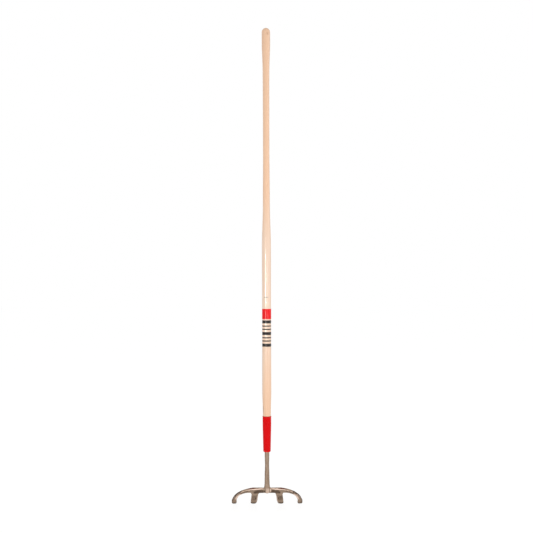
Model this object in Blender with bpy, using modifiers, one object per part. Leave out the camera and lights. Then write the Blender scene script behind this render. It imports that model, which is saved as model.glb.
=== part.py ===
"""Potato hook: a long turned ash handle, a steel ferrule, and a forged head with four hooked tines.

Metres, +Z up, +X to the right of someone who faces the tool, +Y the way the tines point. Heights in this
file are measured from a datum just above the ferrule's foot. The tool hangs under an empty at the datum, so
that the finished part's origin lies on the handle's axis where a rack clip or a hand holds it.
"""

import math

import bmesh
import bpy
import numpy as np

MM = 0.001
GAP = 0.3 * MM

# The handle: 54 inches of turned ash, as heights above the datum and radii there.
HANDLE_FOOT = 9.6 * MM
HANDLE_LENGTH = 1372.0 * MM
HANDLE_STATIONS = (
    (123.5 * MM, 13.25 * MM),
    (200.0 * MM, 14.85 * MM),
    (510.0 * MM, 14.60 * MM),
    (620.0 * MM, 14.90 * MM),
    (670.0 * MM, 14.85 * MM),
    (806.0 * MM, 11.45 * MM),
    (980.0 * MM, 10.60 * MM),
    (1190.0 * MM, 10.80 * MM),
    (1235.0 * MM, 11.10 * MM),
    (1335.0 * MM, 13.80 * MM),
    (1367.6 * MM, 13.85 * MM),
)
STATION_STEP = 28.0 * MM
DOME_STEPS = 7
SPIGOT_CLEARANCE = 1.0 * MM
CLIP_HEIGHT = 980.0 * MM

# The ferrule: a drawn steel cup, a cylinder over a cone, with a round corner at its pierced foot.
FERRULE_RIM = 115.0 * MM
FERRULE_FOOT = -1.5 * MM
FERRULE_RIM_RADIUS = 14.15 * MM
FERRULE_CONE_TOP = 88.0 * MM
FERRULE_FOOT_RADIUS = 12.15 * MM
FERRULE_CORNER = 2.4 * MM
FERRULE_INNER_CORNER = 1.2 * MM
CORNER_STEPS = 4
FERRULE_WALL = 1.4 * MM
VENT_HEIGHT = 5.5 * MM
VENT_RADIUS = 1.6 * MM

# The tang inside the handle, and the shank down to the hub, as heights and radii.
TANG_TIP = 108.0 * MM
TANG_TIP_RADIUS = 4.4 * MM
TANG_RADIUS = 6.5 * MM
TANG_POINT = 3.0 * MM
SHANK_STATIONS = (
    (FERRULE_FOOT - GAP, 7.5 * MM),
    (-8.0 * MM, 7.5 * MM),
    (-43.0 * MM, 6.85 * MM),
    (-80.0 * MM, 7.75 * MM),
    (-104.0 * MM, 8.2 * MM),
    (-120.0 * MM, 9.7 * MM),
    (-131.0 * MM, 10.0 * MM),
)
SHANK_STEP = 9.0 * MM
NOSE_HEIGHT = 6.5 * MM
NOSE_STEPS = 4

# The rivet through the ferrule, the handle and the tang.
RIVET_HEIGHT = 93.5 * MM
RIVET_RADIUS = 2.1 * MM
RIVET_HEAD_RADIUS = 4.6 * MM
RIVET_HEAD_HEIGHT = 1.8 * MM
RIVET_HEAD_STEPS = 4

# The printed film wrapped round the handle.
BAND_BOTTOM = 431.4 * MM
BAND_HEIGHT = 33.6 * MM
BAND_THICKNESS = 0.25 * MM
BAND_STEPS = 2

# The sheet that the arms and the four tines lie in, seen from the side: it leaves the hub leaning back
# from vertical, runs straight, turns round the heel and then runs on in a slight curve to the points.
ARMS_SETBACK = 2.0 * MM
ARMS_HEIGHT = -128.2 * MM
ARMS_LEAN = math.radians(22.0)
ARMS_DROP = 16.7 * MM
HEEL_RADIUS = 64.0 * MM
HEEL_LEAN = math.radians(74.0)
RUN_RADIUS = 650.0 * MM
POINT_LEAN = math.radians(87.0)

# The tines in that sheet, laid flat: the outer pair sweeps out and down in a quarter of a superellipse that
# ends with the heel, and the inner pair drops from the arms.
OUTER_STRAIGHT = 44.0 * MM
ARM_STEPS = 3
OUTER_SWEEP_POWER = 0.525
SWEEP_SAMPLES = 400
OUTER_HEEL = 109.2 * MM
OUTER_POINT = 112.0 * MM
INNER_ROOT = 38.5 * MM
INNER_HEEL = 45.5 * MM
INNER_POINT = 51.0 * MM
INNER_TOP = -1.0 * MM

# Half widths along the path from the hub: the arm, the slimmer shoulder and the heel of an outer tine, then
# the root and the heel of an inner one, by the distance down the sheet.
OUTER_WIDTHS = (
    (0.0, 8.1 * MM),
    (40.0 * MM, 8.0 * MM),
    (78.0 * MM, 4.8 * MM),
    (95.0 * MM, 4.7 * MM),
    (118.0 * MM, 6.4 * MM),
    (140.0 * MM, 7.9 * MM),
)
INNER_WIDTHS = (
    (0.0, 10.8 * MM),
    (38.0 * MM, 10.7 * MM),
    (75.0 * MM, 9.0 * MM),
)
INNER_FLARE = 14.0 * MM
INNER_FLARE_LENGTH = 20.0 * MM
HALF_THICKNESS = 5.3 * MM
INNER_ROOT_THINNING = 0.5 * MM
POINT_HALF_WIDTH = 2.4 * MM
POINT_HALF_THICKNESS = 1.8 * MM
SECTION_POINTS = 14
SECTION_POWER = 0.64
TINE_STEP = 7.0 * MM

TURNED_STEPS = 32
RIVET_TURNED_STEPS = 20

# Colours as linear red, green and blue, with metallic and roughness.
ASH = ((0.89, 0.60, 0.41), 0.0, 0.35)
RED_PAINT = ((0.68, 0.012, 0.014), 0.0, 0.30)
FORGED_STEEL = ((0.40, 0.30, 0.21), 0.6, 0.42)
RIVET_PAINT = ((0.66, 0.02, 0.02), 0.3, 0.35)
LABEL_FILM = ((0.62, 0.03, 0.03), 0.0, 0.40)


def new_collection(name, hidden=False):
    collection = bpy.data.collections.new(name)
    collection.hide_render = hidden
    bpy.context.scene.collection.children.link(collection)
    return collection


def new_material(name, finish):
    colour, metallic, roughness = finish
    material = bpy.data.materials.new(name)
    material.use_nodes = True
    shader = material.node_tree.nodes["Principled BSDF"]
    shader.inputs["Base Color"].default_value = (*colour, 1.0)
    shader.inputs["Metallic"].default_value = metallic
    shader.inputs["Roughness"].default_value = roughness
    return material


def smooth_between(stations, height):
    """The radius at a height, level at each station and easing from one to the next."""
    heights = [station[0] for station in stations]
    radii = [station[1] for station in stations]
    order = np.argsort(heights)
    heights = np.array(heights)[order]
    radii = np.array(radii)[order]
    place = int(np.clip(np.searchsorted(heights, height) - 1, 0, len(heights) - 2))
    share = np.clip((height - heights[place]) / (heights[place + 1] - heights[place]), 0.0, 1.0)
    ease = share * share * (3.0 - 2.0 * share)
    return float(radii[place] + ease * (radii[place + 1] - radii[place]))


def station_profile(stations, step):
    """(radius, height) points from the first station to the last, about a step apart."""
    points = []
    for (start, _), (end, _) in zip(stations, stations[1:]):
        count = max(1, round(abs(end - start) / step))
        heights = np.linspace(start, end, count + 1)[:-1]
        points += [(smooth_between(stations, h), float(h)) for h in heights]
    last_height, last_radius = stations[-1]
    return points + [(last_radius, last_height)]


def ellipse_profile(radius, start_height, end_height, steps):
    """(radius, height) points of a quarter ellipse, from its widest at start_height to its tip on the axis."""
    angles = np.linspace(0.0, math.pi / 2, steps + 1)
    rise = end_height - start_height
    points = [(radius * math.cos(a), start_height + rise * math.sin(a)) for a in angles]
    return points[:-1] + [(0.0, end_height)]


def object_of(name, mesh, material, collection, parent):
    obj = bpy.data.objects.new(name, mesh)
    mesh.materials.append(material)
    collection.objects.link(obj)
    obj.parent = parent
    return obj


def turned(name, profile, closed, steps, material, collection, parent):
    """A solid turned about its own Z from (radius, height) points that run down its outer side."""
    mesh = bpy.data.meshes.new(name)
    points = [(radius, 0.0, height) for radius, height in profile]
    edges = [(i, i + 1) for i in range(len(points) - 1)]
    if closed:
        edges.append((len(points) - 1, 0))
    mesh.from_pydata(points, edges, [])
    obj = object_of(name, mesh, material, collection, parent)
    screw = obj.modifiers.new("turning", "SCREW")
    screw.steps = steps
    screw.render_steps = steps
    screw.use_merge_vertices = True
    screw.merge_threshold = 0.00001
    screw.use_smooth_shade = True
    return obj


def loft(name, rings, material, collection, parent):
    """A closed solid through rings of points, with a flat cap at each end."""
    count = len(rings[0])
    shape = bmesh.new()
    verts = [[shape.verts.new(point) for point in ring] for ring in rings]
    for near, far in zip(verts, verts[1:]):
        for i in range(count):
            j = (i + 1) % count
            shape.faces.new((near[i], near[j], far[j], far[i]))
    shape.faces.new(verts[0][::-1])
    shape.faces.new(verts[-1])
    bmesh.ops.recalc_face_normals(shape, faces=shape.faces)
    mesh = bpy.data.meshes.new(name)
    shape.to_mesh(mesh)
    shape.free()
    mesh.shade_smooth()
    return object_of(name, mesh, material, collection, parent)


def combine(obj, other, operation):
    boolean = obj.modifiers.new(operation.lower() + "_" + other.name, "BOOLEAN")
    boolean.operation = operation
    boolean.solver = "EXACT"
    boolean.object = other
    return boolean


def cross_hole(name, radius, height, reach_front, reach_back, collection, parent):
    """A cutter along Y through the axis at a height, from Y = -reach_front to Y = reach_back."""
    length = reach_front + reach_back
    bpy.ops.mesh.primitive_cylinder_add(vertices=RIVET_TURNED_STEPS, radius=radius, depth=length)
    cutter = bpy.context.object
    cutter.name = name
    for owner in list(cutter.users_collection):
        owner.objects.unlink(cutter)
    collection.objects.link(cutter)
    cutter.rotation_euler = (math.pi / 2, 0.0, 0.0)
    cutter.location = (0.0, (reach_back - reach_front) / 2, height)
    cutter.parent = parent
    cutter.hide_render = True
    cutter.display_type = "WIRE"
    return cutter


def ferrule_radius(height):
    """The ferrule's outer radius: a cone up to FERRULE_CONE_TOP, then a cylinder."""
    share = min((height - FERRULE_FOOT) / (FERRULE_CONE_TOP - FERRULE_FOOT), 1.0)
    return FERRULE_FOOT_RADIUS + share * (FERRULE_RIM_RADIUS - FERRULE_FOOT_RADIUS)


def tang_radius(height):
    return TANG_RADIUS + (TANG_TIP_RADIUS - TANG_RADIUS) * max(height, 0.0) / TANG_TIP


def handle_profile():
    """Butt dome, turned grip, neck, then the spigot inside the ferrule and the tapered bore for the tang."""
    top = HANDLE_FOOT + HANDLE_LENGTH
    grip_height, grip_radius = HANDLE_STATIONS[-1]
    dome = ellipse_profile(grip_radius, grip_height, top, DOME_STEPS)
    body = station_profile(HANDLE_STATIONS, STATION_STEP)
    shoulder = FERRULE_RIM + GAP
    inside = FERRULE_WALL + GAP
    spigot = [
        (HANDLE_STATIONS[0][1], shoulder),
        (FERRULE_RIM_RADIUS - inside, shoulder),
        (FERRULE_RIM_RADIUS - inside, FERRULE_CONE_TOP),
        (ferrule_radius(HANDLE_FOOT) - inside - SPIGOT_CLEARANCE, HANDLE_FOOT),
    ]
    bore = [
        (tang_radius(HANDLE_FOOT) + GAP, HANDLE_FOOT),
        (TANG_TIP_RADIUS + GAP, TANG_TIP + GAP),
        (0.0, TANG_TIP + TANG_POINT + GAP),
    ]
    return dome[::-1] + body[::-1][1:] + spigot + bore


def make_handle(material, parts, parent):
    return turned("handle", handle_profile(), False, TURNED_STEPS, material, parts, parent)


def ferrule_profile():
    """The rim, down the outside, round the foot's corner, through the shank's hole and up the inside."""
    corner_height = FERRULE_FOOT + FERRULE_CORNER
    corner_centre = ferrule_radius(corner_height) - FERRULE_CORNER
    angles = np.linspace(0.0, math.pi / 2, CORNER_STEPS + 1)
    corner = [
        (corner_centre + FERRULE_CORNER * math.cos(a), corner_height - FERRULE_CORNER * math.sin(a))
        for a in angles
    ]
    hole = TANG_RADIUS + GAP
    inner_foot = ferrule_radius(corner_height) - FERRULE_WALL
    floor = FERRULE_FOOT + FERRULE_WALL
    outside = [(FERRULE_RIM_RADIUS, FERRULE_RIM), (FERRULE_RIM_RADIUS, FERRULE_CONE_TOP)]
    inside = [
        (hole, FERRULE_FOOT),
        (hole, floor),
        (inner_foot - FERRULE_INNER_CORNER, floor),
        (inner_foot, floor + FERRULE_INNER_CORNER),
        (FERRULE_RIM_RADIUS - FERRULE_WALL, FERRULE_CONE_TOP),
        (FERRULE_RIM_RADIUS - FERRULE_WALL, FERRULE_RIM),
    ]
    return outside + corner + inside


def make_ferrule(material, parts, parent):
    return turned("ferrule", ferrule_profile(), True, TURNED_STEPS, material, parts, parent)


def make_rivet(material, parts, parent):
    """A round rivet along Y, with a low domed head on each side of the ferrule."""
    seat = ferrule_radius(RIVET_HEIGHT) + GAP
    front = ellipse_profile(RIVET_HEAD_RADIUS, seat, seat + RIVET_HEAD_HEIGHT, RIVET_HEAD_STEPS)[::-1]
    back = [(radius, -height) for radius, height in front[::-1]]
    profile = front + [(RIVET_RADIUS, seat), (RIVET_RADIUS, -seat)] + back
    rivet = turned("tang_rivet", profile, False, RIVET_TURNED_STEPS, material, parts, parent)
    rivet.rotation_euler = (math.pi / 2, 0.0, 0.0)
    rivet.location = (0.0, 0.0, RIVET_HEIGHT)
    return rivet


def make_band(material, parts, parent):
    """A film that follows the handle's surface over the band's height."""
    heights = np.linspace(BAND_BOTTOM + BAND_HEIGHT, BAND_BOTTOM, BAND_STEPS + 1)
    inner = [(smooth_between(HANDLE_STATIONS, h) + GAP, float(h)) for h in heights]
    outer = [(radius + BAND_THICKNESS, height) for radius, height in inner]
    return turned("label_band", outer + inner[::-1], True, TURNED_STEPS, material, parts, parent)


def sheet(distance):
    """(y, z, lean) of the bent sheet, a distance down from the middle of the arms."""
    straight = min(distance, ARMS_DROP)
    y = ARMS_SETBACK + straight * math.sin(ARMS_LEAN)
    z = ARMS_HEIGHT - straight * math.cos(ARMS_LEAN)
    lean = ARMS_LEAN
    for start, radius, last_lean in (
        (ARMS_DROP, HEEL_RADIUS, HEEL_LEAN),
        (heel_end(), RUN_RADIUS, POINT_LEAN),
    ):
        if distance > start:
            first = lean
            lean = min(first + (distance - start) / radius, last_lean)
            y += radius * (math.cos(first) - math.cos(lean))
            z -= radius * (math.sin(lean) - math.sin(first))
    return y, z, lean


def heel_end():
    return ARMS_DROP + HEEL_RADIUS * (HEEL_LEAN - ARMS_LEAN)


def sheet_length():
    return heel_end() + RUN_RADIUS * (POINT_LEAN - HEEL_LEAN)


def section(x, distance, heading, half_width, half_thickness):
    """A rounded oblong across a path in the sheet, whose heading is 0 along +X and 90 degrees down it."""
    y, z, lean = sheet(distance)
    down = np.array((0.0, math.sin(lean), -math.cos(lean)))
    front = np.array((0.0, -math.cos(lean), -math.sin(lean)))
    across = np.array((-math.sin(heading), 0.0, 0.0)) + math.cos(heading) * down
    centre = np.array((x, y, z))
    points = []
    for angle in np.linspace(0.0, 2 * math.pi, SECTION_POINTS, endpoint=False):
        along, out = math.cos(angle), math.sin(angle)
        along = math.copysign(abs(along) ** SECTION_POWER, along)
        out = math.copysign(abs(out) ** SECTION_POWER, out)
        points.append(centre + half_width * along * across + half_thickness * out * front)
    return points


def blend(start, end, share):
    return start + (end - start) * share


def taper(distance):
    """0 down to the heel's end, then up to 1 at the points."""
    return max(0.0, (distance - heel_end()) / (sheet_length() - heel_end()))


def half_thickness(distance):
    return blend(HALF_THICKNESS, POINT_HALF_THICKNESS, taper(distance))


def outer_path():
    """(x, distance) of an outer tine: out along the arm, round the sweep, then down the sheet to the point."""
    angles = np.linspace(0.0, math.pi / 2, SWEEP_SAMPLES)
    sweep = np.column_stack([
        OUTER_STRAIGHT + (OUTER_HEEL - OUTER_STRAIGHT) * np.sin(angles),
        heel_end() * (1.0 - np.clip(np.cos(angles), 0.0, 1.0) ** OUTER_SWEEP_POWER),
    ])
    travelled = np.concatenate([[0.0], np.cumsum(np.hypot(*np.diff(sweep, axis=0).T))])
    even = np.linspace(0.0, travelled[-1], round(travelled[-1] / TINE_STEP) + 1)
    sweep = np.column_stack([np.interp(even, travelled, column) for column in sweep.T])
    arm = [(OUTER_STRAIGHT * i / ARM_STEPS, 0.0) for i in range(ARM_STEPS)]
    count = round((sheet_length() - heel_end()) / TINE_STEP)
    run = [
        (blend(OUTER_HEEL, OUTER_POINT, taper(distance)), distance)
        for distance in np.linspace(heel_end(), sheet_length(), count + 1)[1:]
    ]
    return np.concatenate([arm, sweep, run])


def arch_rings():
    """Sections from the left outer tine's point, over both arms, to the right one's."""
    right = outer_path()
    mirrored = right[:0:-1] * (-1.0, 1.0)
    path = np.concatenate([mirrored, right])
    steps = np.gradient(path, axis=0)
    headings = np.arctan2(steps[:, 1], steps[:, 0])
    lengths = np.concatenate([[0.0], np.cumsum(np.hypot(*np.diff(right, axis=0).T))])
    lengths = np.concatenate([lengths[:0:-1], lengths])
    rings = []
    for (x, distance), heading, length in zip(path, headings, lengths):
        body = smooth_between(OUTER_WIDTHS, length)
        width = blend(body, POINT_HALF_WIDTH, taper(distance))
        rings.append(section(x, distance, heading, width, half_thickness(distance)))
    return rings


def inner_half_width(distance):
    """The tine's own width, and a root that widens into the arm like a fillet."""
    flare = INNER_FLARE * max(0.0, 1.0 - (distance - INNER_TOP) / INNER_FLARE_LENGTH) ** 2
    body = smooth_between(INNER_WIDTHS, distance)
    return flare + blend(body, POINT_HALF_WIDTH, taper(distance))


def inner_x(distance):
    if distance <= heel_end():
        return blend(INNER_ROOT, INNER_HEEL, distance / heel_end())
    return blend(INNER_HEEL, INNER_POINT, taper(distance))


def inner_rings(side):
    """Sections down an inner tine, a little thinner than the arm where they leave it."""
    count = round((sheet_length() - INNER_TOP) / TINE_STEP)
    rings = []
    for distance in np.linspace(INNER_TOP, sheet_length(), count + 1):
        width = inner_half_width(distance)
        thickness = half_thickness(distance) - INNER_ROOT_THINNING * max(0.0, 1.0 - distance / ARMS_DROP)
        rings.append(section(side * inner_x(distance), distance, math.pi / 2, width, thickness))
    return rings


def forging_profile():
    """The tang from its tip down, the shoulder under the ferrule, the shank, and the hub's rounded nose."""
    hub_height, hub_radius = SHANK_STATIONS[-1]
    tang = [
        (0.0, TANG_TIP + TANG_POINT),
        (TANG_TIP_RADIUS, TANG_TIP),
        (TANG_RADIUS, 0.0),
        (TANG_RADIUS, FERRULE_FOOT - GAP),
    ]
    shank = station_profile(SHANK_STATIONS, SHANK_STEP)
    nose = ellipse_profile(hub_radius, hub_height, hub_height - NOSE_HEIGHT, NOSE_STEPS)
    return tang + shank + nose[1:]


def make_forging(material, parts, helpers, parent):
    """Tang, shank and hub in one, with the four tines joined to them."""
    forging = turned("forged_head", forging_profile(), False, TURNED_STEPS, material, parts, parent)
    tines = [
        loft("outer_tines", arch_rings(), material, helpers, parent),
        loft("inner_tine_left", inner_rings(-1), material, helpers, parent),
        loft("inner_tine_right", inner_rings(1), material, helpers, parent),
    ]
    for tine in tines:
        tine.hide_render = True
        tine.display_type = "WIRE"
        combine(forging, tine, "UNION")
    return forging


def main():
    for obj in list(bpy.data.objects):
        bpy.data.objects.remove(obj)
    parts = new_collection("potato_hook")
    helpers = new_collection("cutters", hidden=True)
    holder = bpy.data.objects.new("datum", None)
    holder.location = (0.0, 0.0, -CLIP_HEIGHT)
    parts.objects.link(holder)

    handle = make_handle(new_material("ash", ASH), parts, holder)
    ferrule = make_ferrule(new_material("red_paint", RED_PAINT), parts, holder)
    forging = make_forging(new_material("forged_steel", FORGED_STEEL), parts, helpers, holder)
    make_rivet(new_material("rivet_paint", RIVET_PAINT), parts, holder)
    make_band(new_material("label_film", LABEL_FILM), parts, holder)

    reach = 2 * FERRULE_RIM_RADIUS
    bore = cross_hole("rivet_bore", RIVET_RADIUS + GAP, RIVET_HEIGHT, reach, reach, helpers, holder)
    vent = cross_hole("vent_bore", VENT_RADIUS, VENT_HEIGHT, reach, -TANG_RADIUS, helpers, holder)
    for piece in (handle, ferrule, forging):
        combine(piece, bore, "DIFFERENCE")
    combine(ferrule, vent, "DIFFERENCE")


main()
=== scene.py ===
"""Potato hook: the finished surfaces of its turned handle, red ferrule, forged head, rivet and label film.

The file is laid out as an add-on. Each operator makes one piece from the sizes and colours in the sidebar's
panel, and the last one sets the stage. Metres, +Z up, +X to the right of someone who faces the tool, and +Y
the way the tines point. Heights are measured from a datum just above the ferrule's foot.
"""

import math
from types import SimpleNamespace

import bpy
import numpy as np
from bpy.props import FloatProperty, FloatVectorProperty, PointerProperty
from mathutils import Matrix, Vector


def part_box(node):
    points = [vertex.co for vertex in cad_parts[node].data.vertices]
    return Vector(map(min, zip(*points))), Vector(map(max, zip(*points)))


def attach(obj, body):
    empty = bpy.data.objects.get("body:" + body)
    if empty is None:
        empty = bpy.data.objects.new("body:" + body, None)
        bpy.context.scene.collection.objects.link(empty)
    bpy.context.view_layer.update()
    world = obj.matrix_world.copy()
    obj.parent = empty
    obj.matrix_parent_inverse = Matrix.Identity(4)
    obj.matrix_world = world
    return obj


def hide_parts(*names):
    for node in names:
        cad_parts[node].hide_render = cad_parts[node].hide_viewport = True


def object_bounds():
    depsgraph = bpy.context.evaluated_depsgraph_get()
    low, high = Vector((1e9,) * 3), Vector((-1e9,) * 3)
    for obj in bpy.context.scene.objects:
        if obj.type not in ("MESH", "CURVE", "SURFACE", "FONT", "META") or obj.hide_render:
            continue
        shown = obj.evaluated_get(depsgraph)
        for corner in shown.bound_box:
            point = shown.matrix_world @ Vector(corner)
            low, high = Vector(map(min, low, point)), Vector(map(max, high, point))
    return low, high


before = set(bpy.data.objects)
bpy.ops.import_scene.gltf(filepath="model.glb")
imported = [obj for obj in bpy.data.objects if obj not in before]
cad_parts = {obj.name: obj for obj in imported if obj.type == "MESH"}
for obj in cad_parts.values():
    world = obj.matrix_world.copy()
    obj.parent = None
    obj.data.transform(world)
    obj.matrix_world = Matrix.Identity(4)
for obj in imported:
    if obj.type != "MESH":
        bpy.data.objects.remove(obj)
cad_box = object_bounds()
RIM_HEIGHT = 0.115
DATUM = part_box("ferrule")[1].z - RIM_HEIGHT
# A turned point ends in a cone this long and in a flat of this radius.
TIP_LENGTH = 0.003
TIP_FLAT = 0.0004
# A dome's arc stops this many degrees up, and a fan of faces closes the rest.
DOME_ARC = 88.0
WHITE = (1.0, 1.0, 1.0, 1.0)

bl_info = {
    "name": "Potato hook",
    "version": (1, 0, 0),
    "blender": (4, 5, 0),
    "location": "3D View > Sidebar > Potato hook",
    "description": "Makes a long-handled potato hook with a turned ash handle and a forged four-tine head",
    "category": "Object",
}


def length(name, description, default):
    """A setting in metres."""
    return FloatProperty(name=name, description=description, default=default, unit="LENGTH", precision=4)


def lengths(name, description, default):
    """A row of settings in metres."""
    return FloatVectorProperty(
        name=name, description=description, default=default, size=len(default), unit="LENGTH", precision=4
    )


def angle(name, description, degrees):
    """A setting that is given here in degrees and kept in radians."""
    return FloatProperty(name=name, description=description, default=math.radians(degrees), subtype="ANGLE")


def colour(name, description, default):
    """A linear colour."""
    return FloatVectorProperty(
        name=name, description=description, default=default, size=3, min=0.0, max=1.0, subtype="COLOR"
    )


def factor(name, description, default):
    """A setting from 0 to 1."""
    return FloatProperty(
        name=name, description=description, default=default, min=0.0, max=1.0, subtype="FACTOR"
    )


def number(name, description, default):
    """A setting without a unit, 0 or more."""
    return FloatProperty(name=name, description=description, default=default, min=0.0)


class HandleSettings(bpy.types.PropertyGroup):
    """The turned handle and the hoops printed on it."""

    station_heights: lengths(
        "Station heights",
        "Heights at which the handle's radius is given, from the ferrule's rim up to the butt's dome",
        (0.1235, 0.2, 0.51, 0.62, 0.67, 0.806, 0.98, 1.19, 1.235, 1.335, 1.3676),
    )
    station_radii: lengths(
        "Station radii",
        "The radius at each of those heights",
        (0.01325, 0.01485, 0.0146, 0.0149, 0.01485, 0.01145, 0.0106, 0.0108, 0.0111, 0.0138, 0.01385),
    )
    top: length("Top", "Height of the butt's top", 1.3816)
    foot: length("Foot", "Height of the spigot's end inside the ferrule", 0.0096)
    spigot_radius: length("Spigot radius", "Radius of the spigot under the ferrule's cylinder", 0.01245)
    spigot_foot_radius: length("Spigot foot radius", "Radius at the spigot's end", 0.0097)
    spigot_taper: length("Spigot taper", "Height below which the spigot tapers like the ferrule", 0.088)
    bore_radius: length("Bore radius", "Radius of the tang's bore at the spigot's end", 0.0072)
    bore_top: length("Bore top", "Height at which the tapered bore ends", 0.1083)
    bore_top_radius: length("Bore top radius", "Radius of the bore at that height", 0.0047)
    row_step: length("Row step", "Distance between the surface's rows", 0.004)
    hoop_top: length("Hoop top", "Height of the uppermost hoop's upper edge", 0.4280)
    hoop_gap: length("Hoop gap", "Bare wood between one hoop and the next", 0.0066)
    hoop_widths: lengths(
        "Hoop widths",
        "Width of each printed hoop, from the top",
        (0.010, 0.004, 0.004, 0.010, 0.004, 0.004, 0.010),
    )
    pale_wood: colour("Pale wood", "Colour of the early wood", (0.93, 0.62, 0.42))
    ring_wood: colour("Ring wood", "Colour of the late wood in each ring", (0.83, 0.49, 0.30))
    pore_wood: colour("Pore wood", "Colour of the open pores and of the knot", (0.50, 0.27, 0.14))
    warm_wood: colour("Warm wood", "Colour of the warmer streaks", (0.92, 0.57, 0.37))
    # Sapwood: the colour of a paler length of the handle.
    paler_wood: colour("Sapwood", "Colour of the paler length below the waist", (0.90, 0.69, 0.54))
    bare_wood: colour("Bare wood", "Colour of the strip that the ferrule leaves bare", (0.93, 0.72, 0.47))
    # Stain: the colour of the brown patch low on the left and of the painted shade up that side.
    brown_and_shade: colour("Stain", "Colour of the brown stain above the ferrule", (0.40, 0.20, 0.12))
    ink: colour("Ink", "Colour of the printed hoops", (0.004, 0.004, 0.004))
    ring_width: length("Ring width", "Width of one growth ring", 0.0026)


class FerruleSettings(bpy.types.PropertyGroup):
    """The drawn steel ferrule and the rivet through it."""

    foot: length("Foot", "Height of the flat foot", -0.0015)
    rim_radius: length("Rim radius", "Outer radius of the cylinder under the rim", 0.01415)
    cone_top: length("Cone top", "Height at which the cone becomes a cylinder", 0.088)
    foot_radius: length("Foot radius", "Outer radius that the cone would have at its foot", 0.01215)
    corner: length("Corner", "Radius of the round corner at the foot", 0.0024)
    inner_corner: length("Inner corner", "Radius of the round corner inside the foot", 0.0012)
    wall: length("Wall", "Thickness of the drawn wall", 0.0014)
    bead: length("Bead", "How far the rim's bead stands out", 0.0005)
    groove: length("Groove", "Depth of the shallow groove under the bead", 0.00025)
    hole_radius: length("Hole radius", "Radius of the hole that the shank passes through", 0.0068)
    vent_height: length("Vent height", "Height of the small punched hole", 0.0055)
    vent_radius: length("Vent radius", "Radius of the small punched hole", 0.0015)
    rivet_height: length("Rivet height", "Height of the rivet's axis", 0.0935)
    rivet_radius: length("Rivet radius", "Radius of the rivet's shaft", 0.0021)
    rivet_head_radius: length("Rivet head radius", "Radius of the rivet's heads", 0.0046)
    rivet_head_height: length("Rivet head height", "How far the heads stand out of the ferrule", 0.0016)
    enamel: colour("Enamel", "Colour of the red enamel", (0.76, 0.004, 0.006))
    # Deep enamel: thicker paint, and painted shade in the hollows and round the rivet.
    thick_and_shaded_enamel: colour("Deep enamel", "Colour where the enamel lies thick", (0.58, 0.002, 0.004))
    rubbed_enamel: colour("Rubbed enamel", "Colour where the enamel is scuffed", (0.86, 0.08, 0.07))
    bare_metal: colour("Bare metal", "Colour of the steel where the enamel is chipped", (0.33, 0.28, 0.25))


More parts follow.
